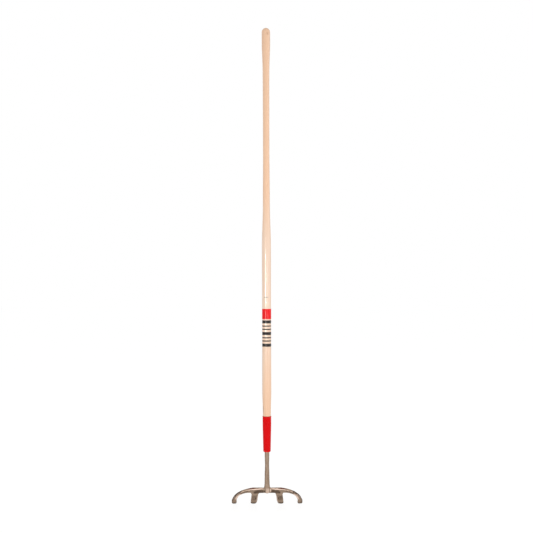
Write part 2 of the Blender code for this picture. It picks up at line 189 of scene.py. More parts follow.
class HeadSettings(bpy.types.PropertyGroup):
    """The forged head: tang, shank, hub, arms and tines."""

    tang_tip: length("Tang tip", "Height of the tang's blunt tip inside the handle", 0.108)
    tang_tip_radius: length("Tang tip radius", "Radius at that tip", 0.0044)
    tang_radius: length("Tang radius", "Radius where the tang meets the shank", 0.0065)
    shank_heights: lengths(
        "Shank heights",
        "Heights at which the shank's radius is given, from the ferrule down to the hub's nose",
        (-0.0018, -0.008, -0.043, -0.080, -0.104, -0.120, -0.131),
    )
    shank_radii: lengths(
        "Shank radii",
        "The radius at each of those heights",
        (0.0075, 0.0075, 0.00685, 0.00775, 0.0082, 0.0097, 0.01),
    )
    nose: length("Nose", "How far the hub's rounded nose reaches below the last of those heights", 0.0065)
    arms_setback: length("Arms setback", "How far the arms' middle lies behind the shank's axis", 0.002)
    arms_height: length("Arms height", "Height of the arms' middle", -0.1282)
    arms_lean: angle("Arms lean", "How far the arms' sheet leans back from vertical", 22.0)
    arms_drop: length("Arms drop", "How far that sheet runs straight before the heel", 0.0167)
    heel_radius: length("Heel radius", "Radius of the heel's bend", 0.064)
    heel_lean: angle("Heel lean", "Lean at the heel's end", 74.0)
    run_radius: length("Run radius", "Radius of the slight bend from the heel to the points", 0.65)
    point_lean: angle("Point lean", "Lean at the points", 87.0)
    outer_straight: length("Outer straight", "Length of the straight arm on each side", 0.044)
    outer_heel: length("Outer heel", "Distance of the outer tines from the middle at the heel", 0.1092)
    outer_point: length("Outer point", "Distance of the outer points from the middle", 0.112)
    sweep_power: FloatProperty(
        name="Sweep power",
        description="Power of the superellipse that an outer tine sweeps down in",
        default=0.525,
    )
    arch_lengths: lengths(
        "Arch lengths",
        "Lengths along the arm and the outer tine at which their half width is given",
        (0.0, 0.040, 0.078, 0.095, 0.118, 0.140),
    )
    arch_half_widths: lengths(
        "Arch half widths",
        "The half width at each of those lengths",
        (0.0081, 0.0080, 0.0048, 0.0047, 0.0064, 0.0079),
    )
    inner_root: length("Inner root", "Distance of the inner tines' roots from the middle", 0.0385)
    inner_heel: length("Inner heel", "Distance of the inner tines from the middle at the heel", 0.0455)
    inner_point: length("Inner point", "Distance of the inner points from the middle", 0.051)
    half_thickness: length("Half thickness", "Half the thickness of the bars as far as the heel", 0.0053)
    point_half_width: length("Point half width", "Half the width of a tine at its point", 0.0024)
    point_half_thickness: length("Point half thickness", "Half the thickness of a tine at its point", 0.0018)
    dish_depth: length("Dish depth", "Depth of the hollow in the arms' tops", 0.0014)
    dish_half_width: length("Dish half width", "Half the width of that hollow", 0.0042)
    hammer_depth: length("Hammer depth", "Depth of the hammer's dents", 0.0005)
    voxel: length("Voxel", "Grid size at which the bars are welded into one skin", 0.0011)
    # Lit steel: the colour of painted highlights, of ground places and of worn edges.
    lit_steel: colour("Lit steel", "Colour of ground edges and high spots", (0.86, 0.66, 0.54))
    warm_steel: colour("Warm steel", "Colour of the lacquered steel", (0.35, 0.25, 0.18))
    pale_steel: colour("Pale steel", "Colour where the lacquered steel is paler", (0.47, 0.37, 0.285))
    brown_steel: colour("Brown steel", "Colour where the lacquered steel is browner", (0.20, 0.125, 0.085))
    # Dark scale: the colour of the forge scale and of the painted shade on the head.
    dark_scale_and_shade: colour("Dark scale", "Colour of the forge scale left in hollows", (0.075, 0.046, 0.030))
    # Heat tint: the colour of a painted dark reflection on the arms' dished tops.
    top_reflection_colour: colour("Heat tint", "Colour of the temper tint in the arms' dished tops", (0.15, 0.045, 0.038))


class BandSettings(bpy.types.PropertyGroup):
    """The printed film round the handle."""

    bottom: length("Bottom", "Height of the film's lower edge", 0.4314)
    height: length("Height", "Height of the film", 0.0336)
    gap: length("Gap", "Glue between the wood and the film", 0.0001)
    thickness: length("Thickness", "Thickness of the film", 0.00025)
    red: colour("Red", "Colour of the printed film", (0.88, 0.005, 0.010))
    worn_red: colour("Worn red", "Colour where the print is rubbed", (0.88, 0.06, 0.05))


class StageSettings(bpy.types.PropertyGroup):
    """Camera, floor and studio light."""

    camera_distance: length("Camera distance", "Distance of the camera from the handle's axis", 2.5)
    camera_height: length("Camera height", "Height of the camera above the datum", 0.6029)
    frame_width: length("Frame width", "Width of what the camera sees at the handle's axis", 1.7405)
    camera_roll: angle("Camera roll", "Turn of the camera about its own axis", 0.15)
    world_light: factor("World light", "Strength of the even light from all round", 0.57)
    softbox_light: number("Softbox light", "Radiance of the large softbox on the right", 1.5)
    left_strip_light: number("Left strip light", "Radiance of the narrow lamp left of the camera", 17.0)
    right_strip_light: number("Right strip light", "Radiance of the narrow lamp right of the camera", 7.0)
    gloss_strip_light: number("Gloss strip light", "Radiance of the lamp that draws the gloss line", 90.0)
    floor_colour: colour("Floor colour", "Colour of the floor", (0.92, 0.92, 0.92))


class PotatoHookSettings(bpy.types.PropertyGroup):
    """All sizes and colours of the potato hook."""

    handle: PointerProperty(type=HandleSettings)
    ferrule: PointerProperty(type=FerruleSettings)
    head: PointerProperty(type=HeadSettings)
    band: PointerProperty(type=BandSettings)
    stage: PointerProperty(type=StageSettings)


def eased(stations, given, at):
    """Value at each place: level at each station, and 3s squared less 2s cubed of the way on at a share s."""
    stations, given = np.array(list(stations)), np.array(list(given))
    order = np.argsort(stations)
    places, values = stations[order], given[order]
    nearest = np.clip(np.searchsorted(places, at) - 1, 0, len(places) - 2)
    share = np.clip((at - places[nearest]) / (places[nearest + 1] - places[nearest]), 0.0, 1.0)
    return values[nearest] + share**2 * (3.0 - 2.0 * share) * (values[nearest + 1] - values[nearest])


def smooth_step(value, start, end):
    """0 before start, 1 after end, and 3s squared less 2s cubed at a share s between them."""
    share = np.clip((value - start) / (end - start), 0.0, 1.0)
    return share**2 * (3.0 - 2.0 * share)


def fade(value, start, end):
    """1 before start and 0 after end: 1 less the smooth step."""
    return 1.0 - smooth_step(value, start, end)


def plateau(value, start, full, last, end):
    """0 before start, eased up to 1 at full, 1 as far as last, and eased down to 0 at end."""
    return smooth_step(value, start, full) * fade(value, last, end)


def spot(first, second, first_width, second_width):
    """A soft oval mark: e to the minus of the sum of both squared shares of its widths."""
    return np.exp(-((first / first_width) ** 2) - (second / second_width) ** 2)


def arc(centre, radii, start, end, count):
    """Points of an elliptic arc in the profile's plane: centre + (a cos t, b sin t), t from start to end."""
    turn = np.radians(np.linspace(start, end, count))
    return np.column_stack([centre[0] + radii[0] * np.cos(turn), centre[1] + radii[1] * np.sin(turn)])


def filled(points, step):
    """The same outline with its longer runs cut into equal lengths of about a step."""
    parts = [points[:1]]
    for start, end in zip(points, points[1:]):
        count = max(1, round(float(np.linalg.norm(end - start)) / step))
        parts.append(start + (end - start) * np.arange(1, count + 1)[:, None] / count)
    return np.concatenate(parts)


def tube_faces(rows, columns, ring_closed):
    """Quads of a grid of points whose columns run round, each row joined to the next."""
    row = np.arange(rows if ring_closed else rows - 1)[:, None]
    column = np.arange(columns)
    here, beside = column, (column + 1) % columns
    after = (row + 1) % rows
    corners = (row * columns + here, row * columns + beside, after * columns + beside, after * columns + here)
    return np.stack(np.broadcast_arrays(*corners), axis=-1).reshape(-1, 4)


def capped_tube(grid):
    """A closed tube from a grid of points (row, column, xyz), with a fan to each end row's middle."""
    rows, columns, _ = grid.shape
    ends = np.stack([grid[0].mean(axis=0), grid[-1].mean(axis=0)])
    points = np.concatenate([grid.reshape(-1, 3), ends])
    column = np.arange(columns)
    beside = (column + 1) % columns
    first = np.stack([beside, column, np.full(columns, rows * columns)], axis=1)
    last_row = (rows - 1) * columns
    last = np.stack([last_row + column, last_row + beside, np.full(columns, rows * columns + 1)], axis=1)
    return points, tube_faces(rows, columns, False).tolist() + first.tolist() + last.tolist()


def turned(profile, columns):
    """Grid of a turned surface: (r, z) of the profile becomes (r cos a, r sin a, z) at each angle a."""
    around = np.linspace(0.0, 2.0 * math.pi, columns, endpoint=False)
    radius, height = profile[:, :1], profile[:, 1:]
    return np.stack([radius * np.cos(around), radius * np.sin(around), height + 0.0 * around], axis=-1)


def mesh_arrays(mesh):
    """(points, triangles) of a mesh as arrays."""
    points = np.empty(len(mesh.vertices) * 3, np.float32)
    mesh.vertices.foreach_get("co", points)
    mesh.calc_loop_triangles()
    triangles = np.empty(len(mesh.loop_triangles) * 3, np.int32)
    mesh.loop_triangles.foreach_get("vertices", triangles)
    return points.reshape(-1, 3).astype(float), triangles.reshape(-1, 3)


def signed_volume(mesh):
    """A sixth of the sum of each triangle's a . (b x c), which is above 0 when the faces point out."""
    points, triangles = mesh_arrays(mesh)
    corners = points[triangles]
    return float(np.einsum("ij,ij->i", corners[:, 0], np.cross(corners[:, 1], corners[:, 2])).sum() / 6.0)


def new_mesh(name, points, faces):
    """A smooth-shaded mesh whose faces point out."""
    mesh = bpy.data.meshes.new(name)
    mesh.from_pydata(points.tolist(), [], faces)
    if signed_volume(mesh) < 0.0:
        mesh.flip_normals()
    mesh.shade_smooth()
    return mesh


def new_piece(name, mesh, material, nodes):
    """An object in the scene that rides on the tool's one body, in place of the frame's nodes."""
    piece = bpy.data.objects.new(name, mesh)
    bpy.context.scene.collection.objects.link(piece)
    mesh.materials.clear()
    mesh.materials.append(material)
    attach(piece, "root")
    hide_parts(*nodes)
    return piece


def finished_copy(obj):
    """The object's mesh as its modifiers leave it."""
    bpy.context.view_layer.update()
    evaluated = obj.evaluated_get(bpy.context.evaluated_depsgraph_get())
    return bpy.data.meshes.new_from_object(evaluated)


def with_modifier(mesh, kind, **settings):
    """The mesh after one modifier."""
    holder = bpy.data.objects.new("holder", mesh)
    bpy.context.scene.collection.objects.link(holder)
    modifier = holder.modifiers.new(kind.lower(), kind)
    for name, value in settings.items():
        setattr(modifier, name, value)
    result = finished_copy(holder)
    bpy.data.objects.remove(holder)
    return result


def mesh_edges(mesh):
    """The two vertex numbers of each edge."""
    edges = np.empty(len(mesh.edges) * 2, np.int32)
    mesh.edges.foreach_get("vertices", edges)
    return edges.reshape(-1, 2)


def vertex_normals(points, triangles):
    """Unit sum of the areas of the faces round each vertex."""
    corners = points[triangles]
    area = np.cross(corners[:, 1] - corners[:, 0], corners[:, 2] - corners[:, 0])
    normal = np.stack(
        [np.bincount(triangles.ravel(), np.repeat(area[:, i], 3), len(points)) for i in range(3)], axis=1
    )
    return normal / np.maximum(np.linalg.norm(normal, axis=1, keepdims=True), 1e-12)


def towards_neighbours(points, edges):
    """From each vertex to the mean of the vertices that share an edge with it."""
    both = np.concatenate([edges, edges[:, ::-1]])
    count = np.bincount(both[:, 0], minlength=len(points))
    mean = np.stack([np.bincount(both[:, 0], points[both[:, 1], i], len(points)) for i in range(3)], axis=1)
    return mean / np.maximum(count, 1)[:, None] - points


def relax(points, edges, rounds):
    """Smoothing that keeps the volume: 0.5 of the way to the neighbours' mean, then 0.53 away from it."""
    for _ in range(rounds):
        points = points + 0.5 * towards_neighbours(points, edges)
        points = points - 0.53 * towards_neighbours(points, edges)
    return points


def fill_valleys(points, edges, triangles, rounds):
    """Fillets: a vertex below its neighbours' mean rises along its normal to it, and one above it stays."""
    for _ in range(rounds):
        normal = vertex_normals(points, triangles)
        rise = np.einsum("ij,ij->i", towards_neighbours(points, edges), normal)
        points = points + normal * np.maximum(rise, 0.0)[:, None]
    return points


def ridge_and_hollow(points, edges, triangles, rounds, depth):
    """(ridge, hollow), 0 to 1: how far a vertex stands above or below the surface once it is smoothed."""
    smoothed = points
    for _ in range(rounds):
        smoothed = smoothed + 0.7 * towards_neighbours(smoothed, edges)
    above = np.einsum("ij,ij->i", points - smoothed, vertex_normals(points, triangles)) / depth
    return np.clip(above, 0.0, 1.0), np.clip(-above, 0.0, 1.0)


def store(mesh, name, values):
    """Keeps one number a vertex on the mesh, for its material to read."""
    attribute = mesh.attributes.new(name, "FLOAT", "POINT")
    attribute.data.foreach_set("value", np.asarray(values, np.float32))


def store_wear(mesh, rounds, depth, pooled_and_shaded=0.0):
    """Keeps each vertex's ridge and hollow on the mesh, the hollow at least as deep as the given pooled paint
    and painted shade.
    """
    points, triangles = mesh_arrays(mesh)
    ridge, hollow = ridge_and_hollow(points, mesh_edges(mesh), triangles, rounds, depth)
    store(mesh, "ridge", ridge)
    store(mesh, "hollow", np.maximum(hollow, pooled_and_shaded))


def move_points(mesh, points):
    """Puts each vertex at its new place."""
    mesh.vertices.foreach_set("co", points.astype(np.float32).ravel())
    mesh.update()


class Nodes:
    """Adds nodes to a tree. An input is given as a value or as another node's output."""

    def __init__(self, tree):
        self.tree = tree
        tree.nodes.clear()

    def feed(self, socket, value):
        """Links another node's output to the socket, or sets its value."""
        if isinstance(value, bpy.types.NodeSocket):
            self.tree.links.new(value, socket)
        else:
            socket.default_value = value

    def add(self, kind, inputs=None, **settings):
        """A new node of that kind, with its settings made and its named inputs fed."""
        made = self.tree.nodes.new(kind)
        for name, value in settings.items():
            setattr(made, name, value)
        for name, value in (inputs or {}).items():
            self.feed(made.inputs[name], value)
        return made

    def math(self, operation, *values):
        made = self.add("ShaderNodeMath", operation=operation)
        for socket, value in zip(made.inputs, values):
            self.feed(socket, value)
        return made.outputs[0]

    def times(self, first, second):
        return self.math("MULTIPLY", first, second)

    def times_plus(self, value, factor, extra):
        """The value times the factor, plus the extra."""
        return self.math("MULTIPLY_ADD", value, factor, extra)

    def mix(self, share, first, second):
        """A colour that share of the way from the first to the second."""
        made = self.add("ShaderNodeMix", data_type="RGBA")
        for place, value in ((0, share), (6, first), (7, second)):
            self.feed(made.inputs[place], value)
        return made.outputs[2]

    def over(self, below, mask, strength, colour):
        """The colour below with another over it, as strongly as the mask times the strength."""
        return self.mix(self.times(mask, strength), below, rgba(colour))

    def between(self, value, start, end, low=0.0, high=1.0):
        """The value's eased place between start and end, as a number from low to high."""
        inputs = {"Value": value, "From Min": start, "From Max": end, "To Min": low, "To Max": high}
        return self.add("ShaderNodeMapRange", inputs, interpolation_type="SMOOTHSTEP").outputs[0]

    def stretched(self, vector, scale):
        """The vector scaled by three numbers, so that a pattern on it is drawn out along an axis."""
        made = self.add("ShaderNodeVectorMath", operation="MULTIPLY")
        self.feed(made.inputs[0], vector)
        self.feed(made.inputs[1], scale)
        return made.outputs[0]

    def noise(self, vector, scale, detail=2.0, roughness=0.5):
        inputs = {"Vector": vector, "Scale": scale, "Detail": detail, "Roughness": roughness}
        return self.add("ShaderNodeTexNoise", inputs).outputs["Fac"]

    def near(self, vector, centre, reach, start, end):
        """1 near the centre, easing to 0 with the distance in units of a reach along each axis."""
        shares = self.stretched(vector, tuple(1.0 / size for size in reach))
        apart = self.add("ShaderNodeVectorMath", operation="DISTANCE")
        self.feed(apart.inputs[0], shares)
        self.feed(apart.inputs[1], tuple(place / size for place, size in zip(centre, reach)))
        return self.between(apart.outputs["Value"], end, start)

    def group(self, tree, inputs):
        """The outputs of a node group that is placed in this tree, with its named inputs fed."""
        made = self.add("ShaderNodeGroup", node_tree=tree)
        for name, value in inputs.items():
            self.feed(made.inputs[name], value)
        return made.outputs

    def attribute(self, name):
        """A number that the mesh keeps for each vertex."""
        return self.add("ShaderNodeAttribute", attribute_name=name).outputs["Fac"]

    def object_place(self):
        return self.add("ShaderNodeTexCoord").outputs["Object"]

    def height(self, place):
        return self.add("ShaderNodeSeparateXYZ", {"Vector": place}).outputs["Z"]

    def seen_rays(self):
        """(camera, mirrored): 1 on a ray from the camera, and 1 on one that a surface reflects or bends."""
        path = self.add("ShaderNodeLightPath").outputs
        return path["Is Camera Ray"], self.math("MAXIMUM", path["Is Glossy Ray"], path["Is Transmission Ray"])


def new_group(name, inputs, outputs):
    """(tree, nodes, its inputs, its outputs' sockets) of a new shader node group with named sockets."""
    tree = bpy.data.node_groups.new(name, "ShaderNodeTree")
    for socket, default in inputs.items():
        kind = "NodeSocketVector" if default is None else "NodeSocketFloat"
        made = tree.interface.new_socket(socket, in_out="INPUT", socket_type=kind)
        if default is not None:
            made.default_value = default
    for socket in outputs:
        tree.interface.new_socket(socket, in_out="OUTPUT", socket_type="NodeSocketFloat")
    nodes = Nodes(tree)
    return tree, nodes, nodes.add("NodeGroupInput").outputs, nodes.add("NodeGroupOutput").inputs


def clouding_group():
    """Soft uneven tone: noise at two scales, drawn out along Z."""
    inputs = {"Vector": None, "Scale": 60.0, "Drawn Out": 1.0}
    tree, nodes, given, result = new_group("Clouding", inputs, ["Tone"])
    shorter = nodes.math("DIVIDE", 1.0, given["Drawn Out"])
    drawn = nodes.add("ShaderNodeCombineXYZ", {"X": 1.0, "Y": 1.0, "Z": shorter})
    vector = nodes.stretched(given["Vector"], drawn.outputs[0])
    broad = nodes.noise(vector, given["Scale"], detail=3.0, roughness=0.55)
    fine = nodes.noise(vector, nodes.times(given["Scale"], 5.3), detail=2.0, roughness=0.6)
    tone = nodes.times_plus(fine, 0.35, nodes.times(broad, 0.65))
    nodes.feed(result["Tone"], nodes.between(tone, 0.30, 0.70))
    return tree


def scuffs_group():
    """Fine scuffs: the crests of noise drawn out in two slanting directions, broken up by a coarser noise."""
    inputs = {"Vector": None, "Scale": 500.0, "Amount": 0.5}
    tree, nodes, given, result = new_group("Scuffs", inputs, ["Scuff"])
    crest = 0.0
    for slant in (0.35, -1.15):
        rotation = (slant, slant * 0.6, 0.0)
        slanting = nodes.add("ShaderNodeMapping", {"Vector": given["Vector"], "Rotation": rotation})
        drawn = nodes.stretched(slanting.outputs[0], (1.0, 1.0, 0.14))
        lines = nodes.between(nodes.noise(drawn, given["Scale"], detail=2.0, roughness=0.6), 0.62, 0.76)
        crest = nodes.math("MAXIMUM", crest, lines)
    patch = nodes.noise(given["Vector"], nodes.times(given["Scale"], 0.05))
    scuff = nodes.times(crest, nodes.between(patch, 0.48, 0.68))
    nodes.feed(result["Scuff"], nodes.times(scuff, given["Amount"]))
    return tree


def edge_wear_group():
    """Wear where a stored edge value is high, with its border broken up by noise."""
    inputs = {"Vector": None, "Edge": 0.0, "Amount": 0.5, "Breakup": 700.0}
    tree, nodes, given, result = new_group("Edge wear", inputs, ["Worn"])
    noise = nodes.noise(given["Vector"], given["Breakup"], detail=4.0, roughness=0.65)
    reach = nodes.math("ADD", given["Edge"], nodes.times(nodes.math("SUBTRACT", noise, 0.5), 0.9))
    start = nodes.math("SUBTRACT", 1.0, given["Amount"])
    nodes.feed(result["Worn"], nodes.between(reach, start, nodes.math("ADD", start, 0.18)))
    return tree


def ash_grain_group():
    """Growth rings round a pith beside the handle, leaning a little to it, with pores drawn out along Z."""
    inputs = {"Vector": None, "Ring Width": 0.0026}
    tree, nodes, given, result = new_group("Ash grain", inputs, ["Ring", "Pore", "Streak"])
    warp = nodes.noise(nodes.stretched(given["Vector"], (14.0, 14.0, 1.1)), 1.0)
    lean = nodes.add("ShaderNodeMapping", {"Vector": given["Vector"]})
    lean.inputs["Location"].default_value = (0.031, 0.022, 0.0)
    lean.inputs["Rotation"].default_value = (math.radians(0.7), math.radians(-0.45), 0.0)
    parts = nodes.add("ShaderNodeSeparateXYZ", {"Vector": lean.outputs[0]})
    squared = nodes.times(parts.outputs["X"], parts.outputs["X"])
    distance = nodes.math("SQRT", nodes.times_plus(parts.outputs["Y"], parts.outputs["Y"], squared))
    bent = nodes.times_plus(warp, 0.012, distance)
    turn = nodes.math("FRACT", nodes.math("DIVIDE", bent, given["Ring Width"]))
    early = nodes.between(turn, 0.0, 0.22, low=1.0, high=0.0)
    late = nodes.between(turn, 0.45, 1.0)
    nodes.feed(result["Ring"], nodes.math("MAXIMUM", nodes.times(early, 0.9), late))
    long_thin = nodes.stretched(given["Vector"], (2600.0, 2600.0, 70.0))
    dashes = nodes.noise(long_thin, 1.0, detail=2.0, roughness=0.7)
    pore = nodes.times(nodes.between(dashes, 0.56, 0.70), nodes.math("ADD", early, 0.18))
    nodes.feed(result["Pore"], pore)
    long_drawn = nodes.stretched(given["Vector"], (330.0, 330.0, 3.5))
    nodes.feed(result["Streak"], nodes.noise(long_drawn, 1.0, detail=4.0, roughness=0.6))
    return tree


def shared_group(name):
    """The named shader node group, built the first time that it is asked for."""
    makers = {
        "Clouding": clouding_group,
        "Scuffs": scuffs_group,
        "Edge wear": edge_wear_group,
        "Ash grain": ash_grain_group,
    }
    return bpy.data.node_groups.get(name) or makers[name]()


def clouding(nodes, place, scale, drawn_out=1.0):
    """Soft uneven tone in a material, from 0 to 1."""
    inputs = {"Vector": place, "Scale": scale, "Drawn Out": drawn_out}
    return nodes.group(shared_group("Clouding"), inputs)["Tone"]


def scuffs(nodes, place, scale):
    """Fine scuffs in a material, from 0 to 1."""
    return nodes.group(shared_group("Scuffs"), {"Vector": place, "Scale": scale, "Amount": 1.0})["Scuff"]


def edge_wear(nodes, place, amount, breakup):
    """Wear along the mesh's ridges in a material, from 0 to 1."""
    inputs = {"Vector": place, "Edge": nodes.attribute("ridge"), "Amount": amount, "Breakup": breakup}
    return nodes.group(shared_group("Edge wear"), inputs)["Worn"]


def new_material(name):
    """(material, nodes, Principled BSDF) with the shader joined to the output."""
    material = bpy.data.materials.new(name)
    material.use_nodes = True
    nodes = Nodes(material.node_tree)
    shader = nodes.add("ShaderNodeBsdfPrincipled")
    nodes.add("ShaderNodeOutputMaterial", {"Surface": shader.outputs[0]})
    return material, nodes, shader


def set_constants(shader, **values):
    """Sets the shader's own sockets, named with underscores for spaces."""
    for name, value in values.items():
        shader.inputs[name.replace("_", " ")].default_value = value


def rgba(value):
    return (*value, 1.0)


def bump(nodes, shader, height, strength, distance):
    """Gives the shader the normals of a surface that is raised by the height times the distance."""
    made = nodes.add("ShaderNodeBump", {"Height": height, "Strength": strength, "Distance": distance})
    nodes.feed(shader.inputs["Normal"], made.outputs[0])


def browned_and_shaded_wood(nodes, sizes, place, streak, wood):
    """The wood's colour, browner low on the left, with a painted shade that runs on faintly up that side."""
    low_brown_place, low_brown_reach = (-0.0140, -0.0050, 0.138 + DATUM), (0.0075, 0.0090, 0.021)
    left_shade_place, left_shade_reach = (-0.0146, -0.0020, 0.240 + DATUM), (0.0060, 0.0100, 0.165)
    brown_and_shade = nodes.near(place, low_brown_place, low_brown_reach, start=0.35, end=1.0)
    # side: painted shade faintly up the handle's left side.
    side = nodes.near(place, left_shade_place, left_shade_reach, start=0.5, end=1.0)
    brown_and_shade = nodes.math("MAXIMUM", brown_and_shade, nodes.times(side, 0.42))
    brown_and_shade = nodes.times(brown_and_shade, nodes.between(streak, 0.30, 0.60, low=0.35, high=0.75))
    return nodes.mix(brown_and_shade, wood, rgba(sizes.brown_and_shade))


def printed_hoops(nodes, sizes, place, height):
    """1 where a hoop is printed, with slightly ragged edges."""
    ragged = nodes.times_plus(nodes.noise(place, 2400.0, detail=3.0), 0.0004, height)
    edge = sizes.hoop_top + DATUM
    printed = 0.0
    for width in sizes.hoop_widths:
        hoop = nodes.math("COMPARE", ragged, edge - width / 2.0, width / 2.0)
        printed = nodes.math("MAXIMUM", printed, hoop)
        edge -= width + sizes.hoop_gap
    return printed


def lacquered_ash(sizes):
    """Pale turned ash under clear lacquer, paler below the waist and darker on the end grain.

    It carries the printed hoops, a small knot, a rub mark above the label, a brown patch low on the left and
    painted shade faintly up that side.
    """
    material, nodes, shader = new_material("Lacquered ash")
    place = nodes.object_place()
    height = nodes.height(place)
    grain = nodes.group(shared_group("Ash grain"), {"Vector": place, "Ring Width": sizes.ring_width})
    ring, pore, streak = grain["Ring"], grain["Pore"], grain["Streak"]
    tone = clouding(nodes, place, 45.0, drawn_out=14.0)

    # The wood is paler from 0.42 to 0.64 m above the datum, eased in from 0.12 and out to 0.88, with fainter
    # rings.
    up_from_foot = nodes.between(height, 0.12 + DATUM, 0.42 + DATUM)
    down_from_waist = nodes.between(height, 0.88 + DATUM, 0.64 + DATUM)
    paler_zone = nodes.times(up_from_foot, down_from_waist)
    early_wood = nodes.mix(paler_zone, rgba(sizes.pale_wood), rgba(sizes.paler_wood))
    ring = nodes.times(ring, nodes.between(streak, 0.35, 0.7, low=0.35, high=0.95))
    ring = nodes.times(ring, nodes.times_plus(paler_zone, -0.45, 1.0))
    wood = nodes.mix(ring, early_wood, rgba(sizes.ring_wood))
    wood = nodes.over(wood, tone, nodes.times_plus(paler_zone, -0.18, 0.30), sizes.warm_wood)
    wood = nodes.over(wood, pore, 0.42, sizes.pore_wood)
    dome = sizes.station_heights[-1] + DATUM
    end_grain = nodes.between(height, dome + 0.004, sizes.top + DATUM, high=0.1)
    wood = nodes.mix(end_grain, wood, rgba(sizes.pore_wood))

    knot = (0.0050, -0.0127, 1.3605 + DATUM)
    for reach, share in ((0.0072, 0.30), (0.0026, 0.40)):
        mark = nodes.near(place, knot, (reach, reach, reach * 1.3), start=0.3, end=1.0)
        wood = nodes.over(wood, mark, share, sizes.pore_wood)
    wood = browned_and_shaded_wood(nodes, sizes, place, streak, wood)
    border, blur = RIM_HEIGHT + 0.0042 + DATUM, 0.0006
    bare = nodes.between(nodes.times_plus(tone, 0.0008, height), border + blur, border - blur)
    wood = nodes.over(wood, bare, 0.8, sizes.bare_wood)
    rub_place, rub_reach = (-0.0015, -0.0147, 0.5030 + DATUM), (0.0110, 0.0090, 0.0024)
    rub = nodes.near(place, rub_place, rub_reach, start=0.35, end=1.0)
    rub = nodes.times(rub, nodes.between(streak, 0.35, 0.60, low=0.35, high=0.70))
    wood = nodes.mix(rub, wood, rgba(sizes.ink))

    printed = printed_hoops(nodes, sizes, place, height)
    scuff = scuffs(nodes, place, 420.0)
    inked = nodes.times(printed, nodes.times_plus(scuff, -0.25, 0.985))
    nodes.feed(shader.inputs["Base Color"], nodes.mix(inked, wood, rgba(sizes.ink)))
    dull = nodes.times_plus(scuff, 0.12, nodes.between(tone, 0.0, 1.0, low=0.36, high=0.46))
    nodes.feed(shader.inputs["Roughness"], dull)
    raised = nodes.math("SUBTRACT", nodes.times(printed, 0.6), pore)
    bump(nodes, shader, raised, strength=0.25, distance=0.0002)
    nodes.feed(shader.inputs["Coat Weight"], nodes.times_plus(inked, -0.58, 0.62))
    set_constants(shader, Specular_IOR_Level=0.22, Coat_Roughness=0.12)
    return material


def red_enamel(name, sizes, streaks):
    """Glossy red enamel: thick and thin in streaks, chipped to bare steel along its edges."""
    material, nodes, shader = new_material(name)
    place = nodes.object_place()
    tone = clouding(nodes, place, 260.0, drawn_out=streaks)
    scuff = scuffs(nodes, place, 650.0)
    worn = edge_wear(nodes, place, amount=0.16, breakup=900.0)
    # thick: darker enamel in streaks, and in the hollows, where it is painted shade as well as thicker paint.
    thick = nodes.math("MAXIMUM", nodes.times(tone, 0.34), nodes.times(nodes.attribute("hollow"), 0.8))
    paint = nodes.mix(thick, rgba(sizes.enamel), rgba(sizes.thick_and_shaded_enamel))
    paint = nodes.over(paint, scuff, 0.25, sizes.rubbed_enamel)
    nodes.feed(shader.inputs["Base Color"], nodes.mix(worn, paint, rgba(sizes.bare_metal)))
    nodes.feed(shader.inputs["Metallic"], nodes.times(worn, 0.9))
    nodes.feed(shader.inputs["Roughness"], nodes.times_plus(scuff, 0.2, 0.30))
    nodes.feed(shader.inputs["Coat Weight"], nodes.times_plus(worn, -0.12, 0.12))
    peel = nodes.times(nodes.noise(place, 750.0), 0.5)
    bump(nodes, shader, nodes.math("SUBTRACT", peel, worn), strength=0.12, distance=0.0003)
    set_constants(shader, Specular_IOR_Level=0.03, Specular_Tint=(1.0, 0.45, 0.4, 1.0), Coat_Roughness=0.1)
    return material


